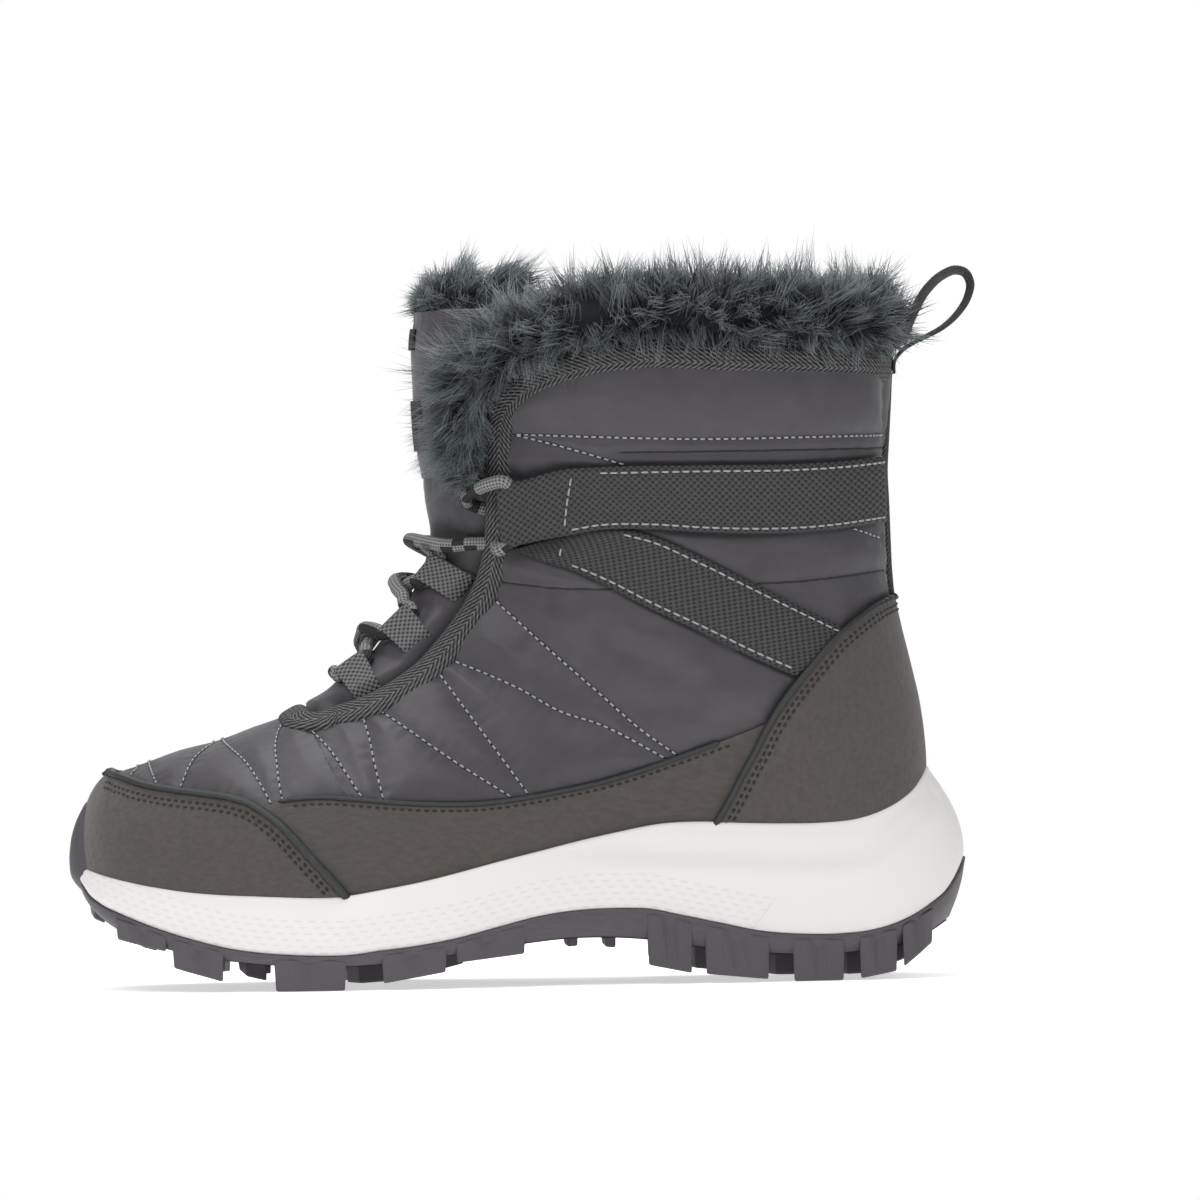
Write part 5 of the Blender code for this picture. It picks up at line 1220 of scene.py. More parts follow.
ON_STRAP = {w: Ground(bpy.data.objects[f"strap_webbing_{w}"]) for w in ("lateral", "medial")}
ON_STAY = {w: Ground(bpy.data.objects[f"stay_webbing_{w}"]) for w in ("lateral", "medial")}
strap_rows = []
for side, word in SIDE_NAMES:
    strap_rows += [
        (side_row(moved_line(STRAP_END_TOP[3:], 0.0016), side, 0.0, 0.001), ON_STRAP[word]),
        (side_row(moved_line(STRAP_END_BOTTOM[3:], -0.0014), side, 0.0, 0.001), ON_STRAP[word]),
        (side_row([(0.572, 0.803), (0.567, 0.760), (0.564, 0.722)], side), ON_STRAP[word]),
        (side_row(moved_line(STAY_TOP[2:], 0.0014), side, 0.0, 0.002), ON_STAY[word]),
        (side_row(moved_line(STAY_BOTTOM[2:], -0.0014), side, 0.0, 0.002), ON_STAY[word]),
        (side_row([(0.558, 0.692), (0.556, 0.672)], side), ON_STAY[word]),
    ]
stitched("strap_stitches", strap_rows, light_thread, 0.0031, 0.0024, 0.0006, 0.0002)

TAB_CORNERS = [
    # throat side low and high, then the fold low and high
    [(0.322, 0.461), (0.350, 0.483), (0.314, 0.480), (0.343, 0.509)],
    [(0.380, 0.526), (0.407, 0.560), (0.366, 0.546), (0.395, 0.588)],
    [(0.429, 0.612), (0.451, 0.652), (0.407, 0.632), (0.429, 0.677)],
]
TAB_ROWS, TAB_COLUMNS = 26, 20
for side, word in SIDE_NAMES:
    for number, corners in enumerate(TAB_CORNERS, 1):
        low, high, fold_low, fold_high = (last_side(p, side) for p in side_points(corners))
        a = np.linspace(0, 1, TAB_COLUMNS)[None, :, None]
        b = np.linspace(-0.25, 1, TAB_ROWS)[:, None, None]
        root = low + (high - low) * a
        fold = fold_low + (fold_high - fold_low) * a
        flat = root + (fold - root) * b
        spots, normals = ON_LAST.near(flat.reshape(-1, 3))
        bulge = 0.0024 + 0.0034 * np.clip(b, 0, 1) ** 1.5 - 0.0040 * np.clip(-b / 0.25, 0, 1)
        over = (spots + normals * np.broadcast_to(bulge, flat.shape[:2] + (1,)).reshape(-1, 1)).reshape(flat.shape)
        way = unit(fold - root)
        out = normals.reshape(flat.shape)[-1:]
        turns = np.linspace(0, math.pi, 11)[1:]
        rim = over[-1:]
        roll = 0.0028
        turned = out * np.cos(turns)[:, None, None] + way[-1:] * np.sin(turns)[:, None, None]
        curl = rim - out * roll + turned * roll
        back = curl[-1:] - way[-1:] * np.linspace(0.001, 0.008, 5)[:, None, None]
        grid = np.concatenate([over, curl, back])
        steps = np.linalg.norm(np.diff(grid[:, TAB_COLUMNS // 2], axis=0), axis=1)
        along = np.concatenate([[0], np.cumsum(steps)])
        width = np.linalg.norm(high - low)
        uv = grid_map(along, np.linspace(0, width, TAB_COLUMNS))
        tab_faces = grid_quads(len(grid), TAB_COLUMNS)
        tab = facing_out(shape(f"lace_tab_{word}_{number}", grid, tab_faces, tab_webbing, uv=uv))
        thickened(tab, 0.0011)
        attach(tab, "root")
        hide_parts(f"lace_loop_{word}_{number}")

# Back seam: a narrow tape over the joint at the back of the shaft, of the same braid but darker.

tape_braid = braid_finish("back_tape_braid", (0.008, 0.008, 0.009), (0.085, 0.085, 0.09), 620.0, 1.3, 0.0026)
tape_path = last_point(np.linspace(0.868, 0.9925, 140), np.ones(140), LATERAL)
tape_path[:, 1] = section_shape(np.linspace(0.868, 0.9925, 140))[1]
_, tape_outs = ON_LAST.near(tape_path)
tape_outs[:, 1] = 0
tape_outs = unit(tape_outs)
tape_across = np.tile([0.0, 1.0, 0.0], (140, 1))
TAPE_SECTION = [(0.1, -3.0), (1.1, -2.7), (1.9, -1.6), (2.2, 0.0), (1.9, 1.6), (1.1, 2.7), (0.1, 3.0)]
back_tape = swept("back_tape", tape_path, tape_outs, tape_across, rounded(TAPE_SECTION, 15), tape_braid, closed=False)
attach(back_tape, "root")
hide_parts("back_seam")

# Pull loop: smooth narrow webbing, folded and sewn in behind the collar's braid.

loop_webbing = webbing_finish("loop_webbing", (0.05, 0.05, 0.053), (0.010, 0.010, 0.011), 1500.0, 0.0, 0.0002)
LOOP_LINE = [
    (0.9285, 0.955), (0.9295, 0.975), (0.937, 0.990), (0.950, 1.003), (0.966, 1.014), (0.984, 1.028),
    (1.001, 1.050), (1.012, 1.075), (1.015, 1.097), (1.009, 1.114), (0.999, 1.118), (0.984, 1.110),
    (0.968, 1.090), (0.955, 1.062), (0.946, 1.030), (0.940, 1.000),
]
loop_flat = rounded(side_points(LOOP_LINE), 120)
loop_path = np.stack([loop_flat[:, 0], np.full(120, DATUM[1]), loop_flat[:, 1]], axis=1)
loop_way = unit(np.gradient(loop_path, axis=0))
loop_outs = np.cross(loop_way, [0.0, 1.0, 0.0])
LOOP_SECTION = [(0.3, -4.4), (0.45, -4.1), (0.45, 4.1), (0.3, 4.4), (-0.3, 4.4), (-0.45, 4.1), (-0.45, -4.1),
                (-0.3, -4.4), (0.3, -4.4)]
loop_turn = np.radians(np.interp(np.linspace(0, 1, 120), [0, 0.3, 0.6, 0.85, 1], [0, 6, 14, 16, 6]))[:, None]
loop_across = np.cos(loop_turn) * [0.0, 1.0, 0.0] + np.sin(loop_turn) * loop_outs
loop_outs = np.cos(loop_turn) * loop_outs - np.sin(loop_turn) * [0.0, 1.0, 0.0]
pull_loop = swept("pull_loop_webbing", loop_path, loop_outs, loop_across, LOOP_SECTION, loop_webbing, closed=False)
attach(pull_loop, "root")
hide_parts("pull_loop")

# Tongue: a padded nylon flap under the throat, sewn through in a few places, with two bare woven patches on its face.

TONGUE_EDGE = [
    (0.232, 0.398), (0.262, 0.395), (0.310, 0.405), (0.360, 0.430), (0.405, 0.467), (0.440, 0.510),
    (0.468, 0.565), (0.488, 0.620), (0.498, 0.680), (0.502, 0.760), (0.503, 0.840), (0.502, 0.920),
    (0.498, 1.000), (0.490, 1.045), (0.476, 1.0665),
]
TONGUE_SUNK = 0.0042
TONGUE_PAD = 0.0046
tongue_edge = edge_share(TONGUE_EDGE)
tongue_stations = np.linspace(float(fan_line(TONGUE_EDGE)[0][0]), float(fan_line(TONGUE_EDGE)[0][-1]), 150)
TONGUE_SEAMS = [
    [(0.400, 0.806), (0.440, 0.803), (0.500, 0.800)],
    [(0.385, 0.600), (0.420, 0.596), (0.470, 0.590)],
    [(0.345, 0.528), (0.360, 0.520), (0.400, 0.505)],
    [(0.446, 0.800), (0.450, 0.750), (0.446, 0.700)],
    [(0.396, 1.052), (0.430, 1.052), (0.490, 1.046)],
]
tongue_points, tongue_quads, count = [], [], 0
for side in SIDES:
    for q in tongue_stations:
        tongue_points.append(section_run(q, side, 0.0, float(tongue_edge(q)), 34))
    tongue_quads.append(grid_quads(150, 35, count, side == MEDIAL))
    count += 150 * 35
tongue = facing_out(welded(shape("tongue_pad", np.concatenate(tongue_points), np.concatenate(tongue_quads), nylon)))
spots, normals = coordinates(tongue), vertex_normals(tongue)
stations, downs = down_of(spots[:, 0], spots[:, 2])
rims = np.where(stations > THROAT_START, throat_share(np.minimum(stations, 0.95)), 0.0)
sinking = np.clip((downs - rims + 0.045) / 0.045, 0, 1)
sinking = sinking * sinking * (3 - 2 * sinking)
swell = quilt_lift(spots, 0.0016, side_lines(TONGUE_SEAMS), [])
lift = 0.0003 + swell * (1 - sinking) - TONGUE_SUNK * sinking
set_coordinates(tongue, spots + normals * lift[:, None])
thickened(tongue, TONGUE_PAD)
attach(tongue, "root")
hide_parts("tongue")
ON_TONGUE = Ground(tongue)

patch_weave = webbing_finish("patch_weave", (0.014, 0.014, 0.015), (0.006, 0.006, 0.006), 1300.0, 0.0, 0.0002)


def tongue_patch(name, low, high, half_width, node=None):
    """A flat woven patch across the tongue's face, between two heights."""
    heights = np.linspace(low, high, 24) * COLLAR_HEIGHT
    across = np.linspace(-half_width, half_width, 24)
    front = smooth([0.68, 0.76, 0.80, 0.86, 0.94, 1.02, 1.067], [0.411, 0.411, 0.405, 0.401, 0.399, 0.397, 0.399],
                   heights / COLLAR_HEIGHT)
    x = (front - 0.5) * BOOT_LENGTH + DATUM[0]
    curved = x[:, None] + 8 * across[None] ** 2
    grid = np.stack(np.broadcast_arrays(curved, DATUM[1] + across[None], heights[:, None]), axis=-1)
    spots, normals = ON_TONGUE.near(grid.reshape(-1, 3) - [0.002, 0, 0])
    uv = np.stack(np.broadcast_arrays(across[None], heights[:, None]), axis=-1)
    made = facing_out(shape(name, spots + normals * 0.0008, grid_quads(24, 24), patch_weave, uv=uv))
    thickened(made, 0.0007)
    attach(made, "root")
    if node:
        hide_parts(node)


tongue_patch("tongue_patch", 0.845, 0.925, 0.013, "tongue_label")
tongue_patch("tongue_top_patch", 1.006, 1.040, 0.011)
tongue_seam = rounded(side_points(TONGUE_SEAMS[0]), 60)
stitched("tongue_stitches", [(resample(last_side(tongue_seam, side), 60), ON_TONGUE) for side in SIDES],
         grey_thread, lift=0.0)

# Lace: round cord of light grey yarn with black flecks, run through the folded tapes from the toe up, crossing over
# the tongue, and through the ends of the straps. Its two ends go down into the throat and stop there.

lace_cord, nodes, links, shader = new_material("lace_cord", 0.75)
lace_split = nodes.new("ShaderNodeSeparateXYZ")
links.new(along_across(nodes), lace_split.inputs["Vector"])
lace_maths = maths_in(nodes, links)
YARN_TURNS = 6.0
YARN_RISE = 560.0
lace_rise = lace_maths("MULTIPLY", lace_split.outputs["X"], YARN_RISE)
lace_round = lace_maths("MULTIPLY", lace_split.outputs["Y"], YARN_TURNS)
lace_one, lace_two = (
    lace_maths("SINE", lace_maths("MULTIPLY", lace_maths(operation, lace_rise, lace_round), FULL_TURN))
    for operation in ("ADD", "SUBTRACT"))
lace_knit = lace_maths("MULTIPLY", lace_one, lace_two)
lace_height = lace_maths("ADD", lace_maths("MULTIPLY", lace_knit, 0.5), 0.5)
lace_cell = nodes.new("ShaderNodeCombineXYZ")
links.new(lace_maths("FLOOR", lace_maths("MULTIPLY", lace_split.outputs["X"], 270.0)), lace_cell.inputs["X"])
links.new(lace_maths("FLOOR", lace_maths("MULTIPLY", lace_split.outputs["Y"], 4.0)), lace_cell.inputs["Y"])
lace_dice = nodes.new("ShaderNodeTexWhiteNoise")
lace_dice.noise_dimensions = "2D"
links.new(lace_cell.outputs["Vector"], lace_dice.inputs["Vector"])
lace_fleck = between(nodes, links, lace_dice.outputs["Value"], 0.64, 0.66)
# The cord's light grey yarn colour, darkened in the valleys between the twisted strands as painted shade.
lace_yarn_and_gap_shade = ramp_node(nodes, links, lace_height, [(0.1, (0.035, 0.035, 0.035)), (0.7, (0.25, 0.25, 0.245))])
lace_colour = mixed_node(nodes, links, lace_yarn_and_gap_shade.outputs["Color"], (0.010, 0.010, 0.010, 1.0),
                         lace_fleck, "MIX")
finished(shader, links, lace_colour, bump_node(nodes, links, lace_height, 0.8, 0.0004))

LACE_RADIUS = 0.0021
TAB_FOLDS = [(corners[2], corners[3]) for corners in TAB_CORNERS]
STRAP_TUNNEL = [
    # place and lift: in at the foot of the strap's end, up inside it, out at its top and down into the throat
    (0.4985, 0.693, 0.0052), (0.508, 0.706, 0.0032), (0.5105, 0.745, 0.0028), (0.508, 0.784, 0.0032),
    (0.5015, 0.7975, 0.0054), (0.489, 0.795, 0.0066), (0.474, 0.786, 0.0060), (0.461, 0.775, 0.0042),
    (0.457, 0.764, 0.0016), (0.464, 0.752, -0.0022), (0.474, 0.746, -0.0045),
]


def on_last(place, side, lift):
    """A point over the last's side."""
    return ON_LAST.over(last_side(side_points([place])[0], side), lift)[0]


def crossing(start, end, rise):
    """Points over the tongue's crown between a fold on one side and a fold on the other."""
    middle = (start + end) / 2
    q = float(station_of(middle[0], middle[2]))
    crown = last_point(q, 0.0, LATERAL)
    _, normal = ON_LAST.near(crown)
    control = crown + normal[0] * (0.0065 + rise)
    t = np.linspace(0, 1, 13)[1:-1, None]
    curve = (1 - t) ** 2 * start + 2 * t * (1 - t) * control + t**2 * end
    spots, _ = ON_TONGUE.near(curve)
    hump = LACE_RADIUS + 0.0004 + rise * np.sin(math.pi * t)
    _, outward = ON_LAST.near(curve)
    return spots + outward * hump


def lace_strand(first, rise):
    """Half of the lace: from the middle of the lowest bar up to the top of one strap."""
    side = first
    points = []
    for number, (low, high) in enumerate(TAB_FOLDS):
        entry = on_last(low, side, 0.0030)
        leave = on_last(high, side, 0.0030)
        inside = (entry + leave) / 2
        if number == 0:
            other = on_last(low, -side, 0.0030)
            bar = crossing(other, entry, 0.0)
            points += list(bar[5:])
        else:
            points += list(crossing(points[-1], entry, rise))
        points += [entry, inside, leave]
        side = -side
    inside = [on_last(row[:2], side, row[2]) for row in STRAP_TUNNEL]
    points += list(crossing(points[-1], inside[0], rise)) + inside
    return np.array(points)


for first, rise, word in ((LATERAL, 0.0000, "a"), (MEDIAL, 0.0040, "b")):
    strand = rounded(lace_strand(first, rise), 620)
    _, strand_outs = ON_LAST.near(strand)
    strand_points, strand_quads, strand_uv = tube(strand, strand_outs, LACE_RADIUS, LACE_RADIUS, 14)
    lace = shape(f"lace_strand_{word}", strand_points, strand_quads, lace_cord, uv=strand_uv)
    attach(lace, "root")
    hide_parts(*(["lace_bar", "lace_cross_1", "lace_cross_2", "lace_cross_3"] if word == "a" else ["lace_bar"]))

# Fur: long soft pile, glued into the collar and down both sides of the throat, with a tuft behind the tongue. It
# stands in locks of fine hairs, dark at the root and paler at the tip.

fur_hair, nodes, links, shader = new_material("fur_hair", 0.72)
shader.inputs["Sheen Weight"].default_value = 0.2
hair_tip = nodes.new("ShaderNodeAttribute")
hair_tip.attribute_name = "tip"
hair_tone = nodes.new("ShaderNodeAttribute")
hair_tone.attribute_name = "tone"
hair_colour = ramp_node(nodes, links, hair_tip.outputs["Fac"],
                        [(0.0, (0.010, 0.013, 0.015)), (0.40, (0.042, 0.052, 0.057)), (0.80, (0.120, 0.142, 0.152)),
                         (1.0, (0.26, 0.29, 0.30))])
hair_shade = ramp_node(nodes, links, hair_tone.outputs["Fac"], [(0.0, (0.45, 0.47, 0.48)), (1.0, (1.5, 1.48, 1.46))])
hair_mix = mixed_node(nodes, links, hair_colour.outputs["Color"], hair_shade.outputs["Color"], 1.0)
hair_streak = noise_node(nodes, links, 1200.0, 2.0)
finished(shader, links, hair_mix, bump_node(nodes, links, hair_streak.outputs["Fac"], 0.2, 0.0002))

ROOT_STOPS = [(0.3, (0.006, 0.008, 0.010)), (0.7, (0.030, 0.037, 0.041))]
fur_root = grained("fur_root", 0.95, 500.0, 4.0, ROOT_STOPS, 0.9, 0.0015)

FUR_HEIGHT = 22.5
COLLAR_ROLL = np.array([
    (-0.20, 0.040), (-0.10, 0.055), (0.02, 0.070), (0.14, 0.10), (0.28, 0.28), (0.30, 0.56), (0.16, 0.86),
    (-0.12, 1.00), (-0.44, 0.88), (-0.62, 0.52), (-0.60, 0.16), (-0.40, 0.030),
]) * FUR_HEIGHT
THROAT_ROLL = np.array([
    (0.115, 0.13), (0.120, 0.135), (0.130, 0.14), (0.17, 0.15), (0.32, 0.17), (0.44, 0.29), (0.44, 0.44),
    (0.34, 0.60), (0.22, 0.68), (0.13, 0.62), (0.115, 0.46), (0.112, 0.28),
]) * FUR_HEIGHT
ROLL_SHRINK = 0.62
FUR_STRANDS = 41400
STRANDS_A_LOCK = 15
HAIR_RADIUS = 0.00021
HAIR_STOPS = np.array([0.0, 0.52, 1.0])
HAIR_SIDES = 3
HAIR_POINTS = 2 * HAIR_SIDES + 1
LOCK_SPREAD = 0.00125
ROOT_DEPTH = 0.0008
FUR_FOOT = (0.476, 0.800)

fur_path, fur_outs, fur_across = rim_frames(900)
fur_share = (fur_path[:, 0] - DATUM[0]) / BOOT_LENGTH + 0.5
back = int(np.argmax(fur_path[:, 0]))
fur_foot_off = np.hypot(fur_path[:, 0] - side_points([FUR_FOOT])[0, 0], fur_path[:, 2] - FUR_FOOT[1] * COLLAR_HEIGHT)
first, last = int(np.argmin(fur_foot_off[:back])), back + int(np.argmin(fur_foot_off[back:]))
fur_rows = np.arange(first, last + 1)
fur_inside = np.clip((fur_share[fur_rows] - 0.515) / 0.06, 0, 1)
fur_end = np.clip(np.minimum(fur_rows - first, last - fur_rows) / 40.0, 0, 1)
fur_past = -fur_across


def roll_section(inside, end, shrink):
    """Sections of the pile's roll at some rows, pulled in towards their own middle."""
    section = THROAT_ROLL[None] + (COLLAR_ROLL - THROAT_ROLL)[None] * inside[:, None, None]
    middle = section.mean(axis=1, keepdims=True)
    base = section[:, :1]
    pulled = middle + (section - middle) * shrink
    pulled = base + (pulled - base) * (0.35 + 0.65 * end[:, None, None])
    return pulled / 1000, (section - middle) / 1000


rolled_in, rolled_way = roll_section(fur_inside, fur_end, ROLL_SHRINK)
roll_points = (fur_path[fur_rows][:, None] + fur_outs[fur_rows][:, None] * rolled_in[..., :1]
               + fur_past[fur_rows][:, None] * rolled_in[..., 1:])
roll_normals = unit(fur_outs[fur_rows][:, None] * rolled_way[..., :1]
                    + fur_past[fur_rows][:, None] * rolled_way[..., 1:])
pick = np.arange(0, len(fur_rows), 4)
roll_grid = np.concatenate([roll_points[pick], roll_points[pick][:, :1]], axis=1)
fur_base = welded(shape("fur_backing", roll_grid, grid_quads(len(pick), len(COLLAR_ROLL) + 1), fur_root))
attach(fur_base, "root")
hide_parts("fur_collar")

chance = np.random.default_rng(11)


def hairs(name, roots, ways, lengths, sway, node):
    """Locks of hair: every lock has its own way and bend, and its hairs lean together at the tip."""
    locks = len(roots)
    total = locks * STRANDS_A_LOCK
    owner = np.repeat(np.arange(locks), STRANDS_A_LOCK)
    spread = chance.normal(size=(total, 3)) * LOCK_SPREAD
    spread -= ways[owner] * (spread * ways[owner]).sum(1)[:, None]
    start = roots[owner] + spread - ways[owner] * ROOT_DEPTH
    reach = lengths[owner] * chance.uniform(0.62, 1.08, total)
    bend = sway[owner] + chance.normal(size=(total, 3)) * 0.10
    tip = roots[owner] + spread * 0.55 + (ways[owner] + bend) * reach[:, None]
    curl = chance.normal(size=(locks, 3))[owner] * 0.16 + chance.normal(size=(total, 3)) * 0.07
    control = start + ways[owner] * (reach * 0.55)[:, None] + curl * reach[:, None]
    t = HAIR_STOPS[None, :, None]
    line = (1 - t) ** 2 * start[:, None] + 2 * t * (1 - t) * control[:, None] + t**2 * tip[:, None]
    way = unit(np.gradient(line, axis=1))
    aside = unit(np.cross(way, chance.normal(size=(total, 1, 3))))
    other = np.cross(way, aside)
    girth = HAIR_RADIUS * np.array([1.0, 0.8])[None, :, None, None] * chance.uniform(0.6, 1.2, (total, 1, 1, 1))
    turn = np.array([0, 2.0944, 4.1888])[None, None, :, None]
    rings = line[:, :2, None] + girth * (np.cos(turn) * aside[:, :2, None] + np.sin(turn) * other[:, :2, None])
    points = np.concatenate([rings.reshape(total, 2 * HAIR_SIDES, 3), line[:, 2:]], axis=1).reshape(-1, 3)
    faces = []
    for j in range(HAIR_SIDES):
        k = (j + 1) % HAIR_SIDES
        up, on = HAIR_SIDES + j, HAIR_SIDES + k
        faces += [(j, k, on), (j, on, up), (up, on, HAIR_POINTS - 1)]
    faces = (np.array(faces)[None] + np.arange(total)[:, None, None] * HAIR_POINTS).reshape(-1, 3)
    tips = np.tile(np.repeat(HAIR_STOPS, [HAIR_SIDES, HAIR_SIDES, 1]), total)
    tone = 0.5 + 0.28 * chance.normal(size=locks)[owner] + 0.14 * chance.normal(size=total)
    tone = np.repeat(np.clip(tone, 0, 1), HAIR_POINTS)
    made = shape(name, points, faces, fur_hair, values={"tip": tips, "tone": tone})
    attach(made, "root")
    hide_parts(node)
    return made


lock_count = FUR_STRANDS // STRANDS_A_LOCK
row_weight = np.cumsum(1.0 + 1.1 * (1 - fur_inside))
rows_at = np.interp(chance.uniform(0, row_weight[-1], lock_count), row_weight, np.arange(len(fur_rows)))
rows_at = np.minimum(rows_at, len(fur_rows) - 1.001)
cells = chance.uniform(0, len(COLLAR_ROLL), lock_count)
i, j = rows_at.astype(int), cells.astype(int)
u, v = (rows_at - i)[:, None], (cells - j)[:, None]
k = (j + 1) % len(COLLAR_ROLL)


def on_roll(values):
    near, far = (values[i, m] * (1 - u) + values[i + 1, m] * u for m in (j, k))
    return near * (1 - v) + far * v


roots, ways = on_roll(roll_points), on_roll(roll_normals)
inside = fur_inside[i]
ends = fur_end[i]
run_on = unit(np.gradient(fur_path, axis=0)[fur_rows][i])
low_side = np.clip(-(ways * fur_past[fur_rows][i]).sum(1), 0, 1)
ways = ways + 0.22 * chance.normal(size=ways.shape)
front_top = (1 - inside) * np.clip((roots[:, 2] / COLLAR_HEIGHT - 0.90) / 0.08, 0, 1)
ways[:, 2] += 0.12 * inside - 0.05 * (1 - inside) + 0.9 * front_top
ways[:, 0] -= 0.95 * (1 - inside) * (1 - 0.6 * front_top)
ways = unit(ways)
lengths = (chance.uniform(0.0085, 0.0140, lock_count) * (0.65 + 0.35 * ends) * (1 - 0.40 * low_side)
           * (1.15 - 0.15 * inside) * (1 + 0.25 * front_top))
sway = 0.24 * chance.normal(size=ways.shape) + run_on * 0.15 * chance.normal(size=(lock_count, 1))
sway[:, 2] -= 0.05 + 0.30 * (1 - inside)
LOOP_CLEAR_HALF, LOOP_CLEAR_HAIR = 0.008, 0.005
near_loop = (np.abs(roots[:, 1] - DATUM[1]) < LOOP_CLEAR_HALF) & (roots[:, 0] > 0.10) & (ways[:, 0] > 0.2)
lengths = np.where(near_loop, LOOP_CLEAR_HAIR, lengths)
order = np.argsort(rows_at)
for number, chosen in enumerate(np.array_split(order, 3), 1):
    hairs(f"fur_locks_{number}", roots[chosen], ways[chosen], lengths[chosen], sway[chosen], "fur_collar")

TONGUE_ROLL = np.array([
    (-0.24, -0.40), (-0.22, -0.12), (-0.12, 0.02), (-0.06, 0.14), (-0.20, 0.28), (-0.60, 0.36), (-1.20, 0.34),
    (-1.50, 0.00), (-0.90, -0.36),
]) * FUR_HEIGHT / 1000
crown_top = last_point(float(fan_line(TONGUE_EDGE)[0][-1]), 0.0, LATERAL)
TUFT_HALF, TUFT_ROWS, TUFT_LOCKS = 0.0165, 24, 760
tuft_y = np.linspace(-TUFT_HALF, TUFT_HALF, TUFT_ROWS)
tuft_spots, tuft_normals = ON_LAST.near(crown_top + np.stack([0.004 + 0 * tuft_y, tuft_y, 0 * tuft_y], axis=1))
tuft_normals[:, 2] = 0
tuft_normals = unit(tuft_normals)
tuft_middle = TONGUE_ROLL.mean(axis=0)
tuft_round = 0.8 * np.sqrt(np.clip(1.0 - (tuft_y / 0.0166) ** 6, 0.0004, 1.0))[:, None, None]
tuft_in = tuft_middle + (TONGUE_ROLL - tuft_middle)[None] * tuft_round
tuft_upright = np.array([0, 0, 1.0])
tuft_grid = tuft_spots[:, None] + tuft_normals[:, None] * tuft_in[:, :, :1] + tuft_upright * tuft_in[:, :, 1:]
tuft_away = (TONGUE_ROLL - tuft_middle)[None]
tuft_ways = tuft_normals[:, None] * tuft_away[:, :, :1] + tuft_upright * tuft_away[:, :, 1:]
tuft_ways = unit(tuft_ways + np.array([0, 0.012, 0]) * ((tuft_y / TUFT_HALF) ** 3)[:, None, None])
tuft_closed = np.concatenate([tuft_grid, tuft_grid[:, :1]], axis=1)
tuft_base = welded(shape("fur_tongue_backing", tuft_closed, grid_quads(TUFT_ROWS, len(TONGUE_ROLL) + 1), fur_root))
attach(tuft_base, "root")
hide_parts("fur_tongue")
i, j = chance.integers(0, TUFT_ROWS, TUFT_LOCKS), chance.integers(0, len(TONGUE_ROLL), TUFT_LOCKS)
tuft_way = unit(tuft_ways[i, j] * [0.8, 1.0, 1.0] + 0.34 * chance.normal(size=(TUFT_LOCKS, 3)) + [0.20, 0, 0.12])
tuft_root = tuft_grid[i, j] + chance.normal(size=(TUFT_LOCKS, 3)) * 0.0006
tuft_reach = 1 - 0.3 * np.clip(-tuft_way[:, 0], 0, 1) + 0.5 * np.clip(tuft_way[:, 0], 0, 1)
tuft_length = chance.uniform(0.0070, 0.0105, TUFT_LOCKS) * tuft_reach
hairs("fur_tongue_locks", tuft_root, tuft_way, tuft_length,
      0.22 * chance.normal(size=(TUFT_LOCKS, 3)), "fur_tongue")

# Midsole: one piece of white foam round the foot of the upper. Its side has a soft rounded lip at the top, swells out
# towards the heel and carries a shallow crease along its back half, with rows of fine moulded dashes ahead of the
# heel. The upper is glued down into it.

FEATHER_SPARE = 0.0018
LIP = 0.0016
RING = 220
# How far the foot of the midsole stands out past its lip, along the boot, in shares of the heel's width.
FLARES = np.array([
    (0.000, -0.014), (0.030, -0.004), (0.080, 0.020), (0.160, 0.040), (0.350, 0.044), (0.500, 0.036),
    (0.640, 0.044), (0.800, 0.060), (0.880, 0.074), (0.930, 0.110), (0.957, 0.158),
])
MIDSOLE_BOTTOM = side_points([
    (0.010, 0.200), (0.016, 0.176), (0.024, 0.155), (0.037, 0.139), (0.059, 0.124), (0.081, 0.111),
    (0.114, 0.094), (0.147, 0.080), (0.181, 0.068), (0.214, 0.061), (0.247, 0.057), (0.280, 0.055),
    (0.313, 0.055), (0.347, 0.061), (0.391, 0.068), (0.435, 0.079), (0.480, 0.095), (0.524, 0.110),
    (0.558, 0.117), (0.613, 0.120), (0.646, 0.118), (0.679, 0.108), (0.723, 0.094), (0.768, 0.080),
    (0.812, 0.074), (0.856, 0.073), (0.889, 0.077), (0.923, 0.090), (0.956, 0.115), (0.979, 0.143),
    (0.990, 0.169), (0.998, 0.194),
])
MIDSOLE_CREASE = side_points([(0.560, 0.210), (0.592, 0.216), (0.703, 0.207), (0.813, 0.198), (0.869, 0.198),
                              (0.902, 0.211), (0.930, 0.239), (0.960, 0.270), (0.990, 0.290)])
OUTSOLE_BASE = side_points([
    (0.020, 0.138), (0.036, 0.118), (0.055, 0.100), (0.090, 0.078), (0.150, 0.055), (0.200, 0.045),
    (0.250, 0.039), (0.300, 0.037), (0.360, 0.041), (0.430, 0.052), (0.500, 0.066), (0.560, 0.074),
    (0.640, 0.070), (0.700, 0.056), (0.770, 0.045), (0.840, 0.041), (0.890, 0.046), (0.930, 0.056),
    (0.955, 0.070), (0.975, 0.086),
])


def midsole_foot(x):
    return smooth(MIDSOLE_BOTTOM[:, 0], MIDSOLE_BOTTOM[:, 1], x)


def base_height(x):
    return smooth(OUTSOLE_BASE[:, 0], OUTSOLE_BASE[:, 1], x)


def plan_way(loop):
    """Outward way of a closed ring, seen from above."""
    run = np.roll(loop, -2, axis=0) - np.roll(loop, 2, axis=0)
    out = np.stack([run[:, 1], -run[:, 0], np.zeros(len(run))], axis=1)
    return unit(out)


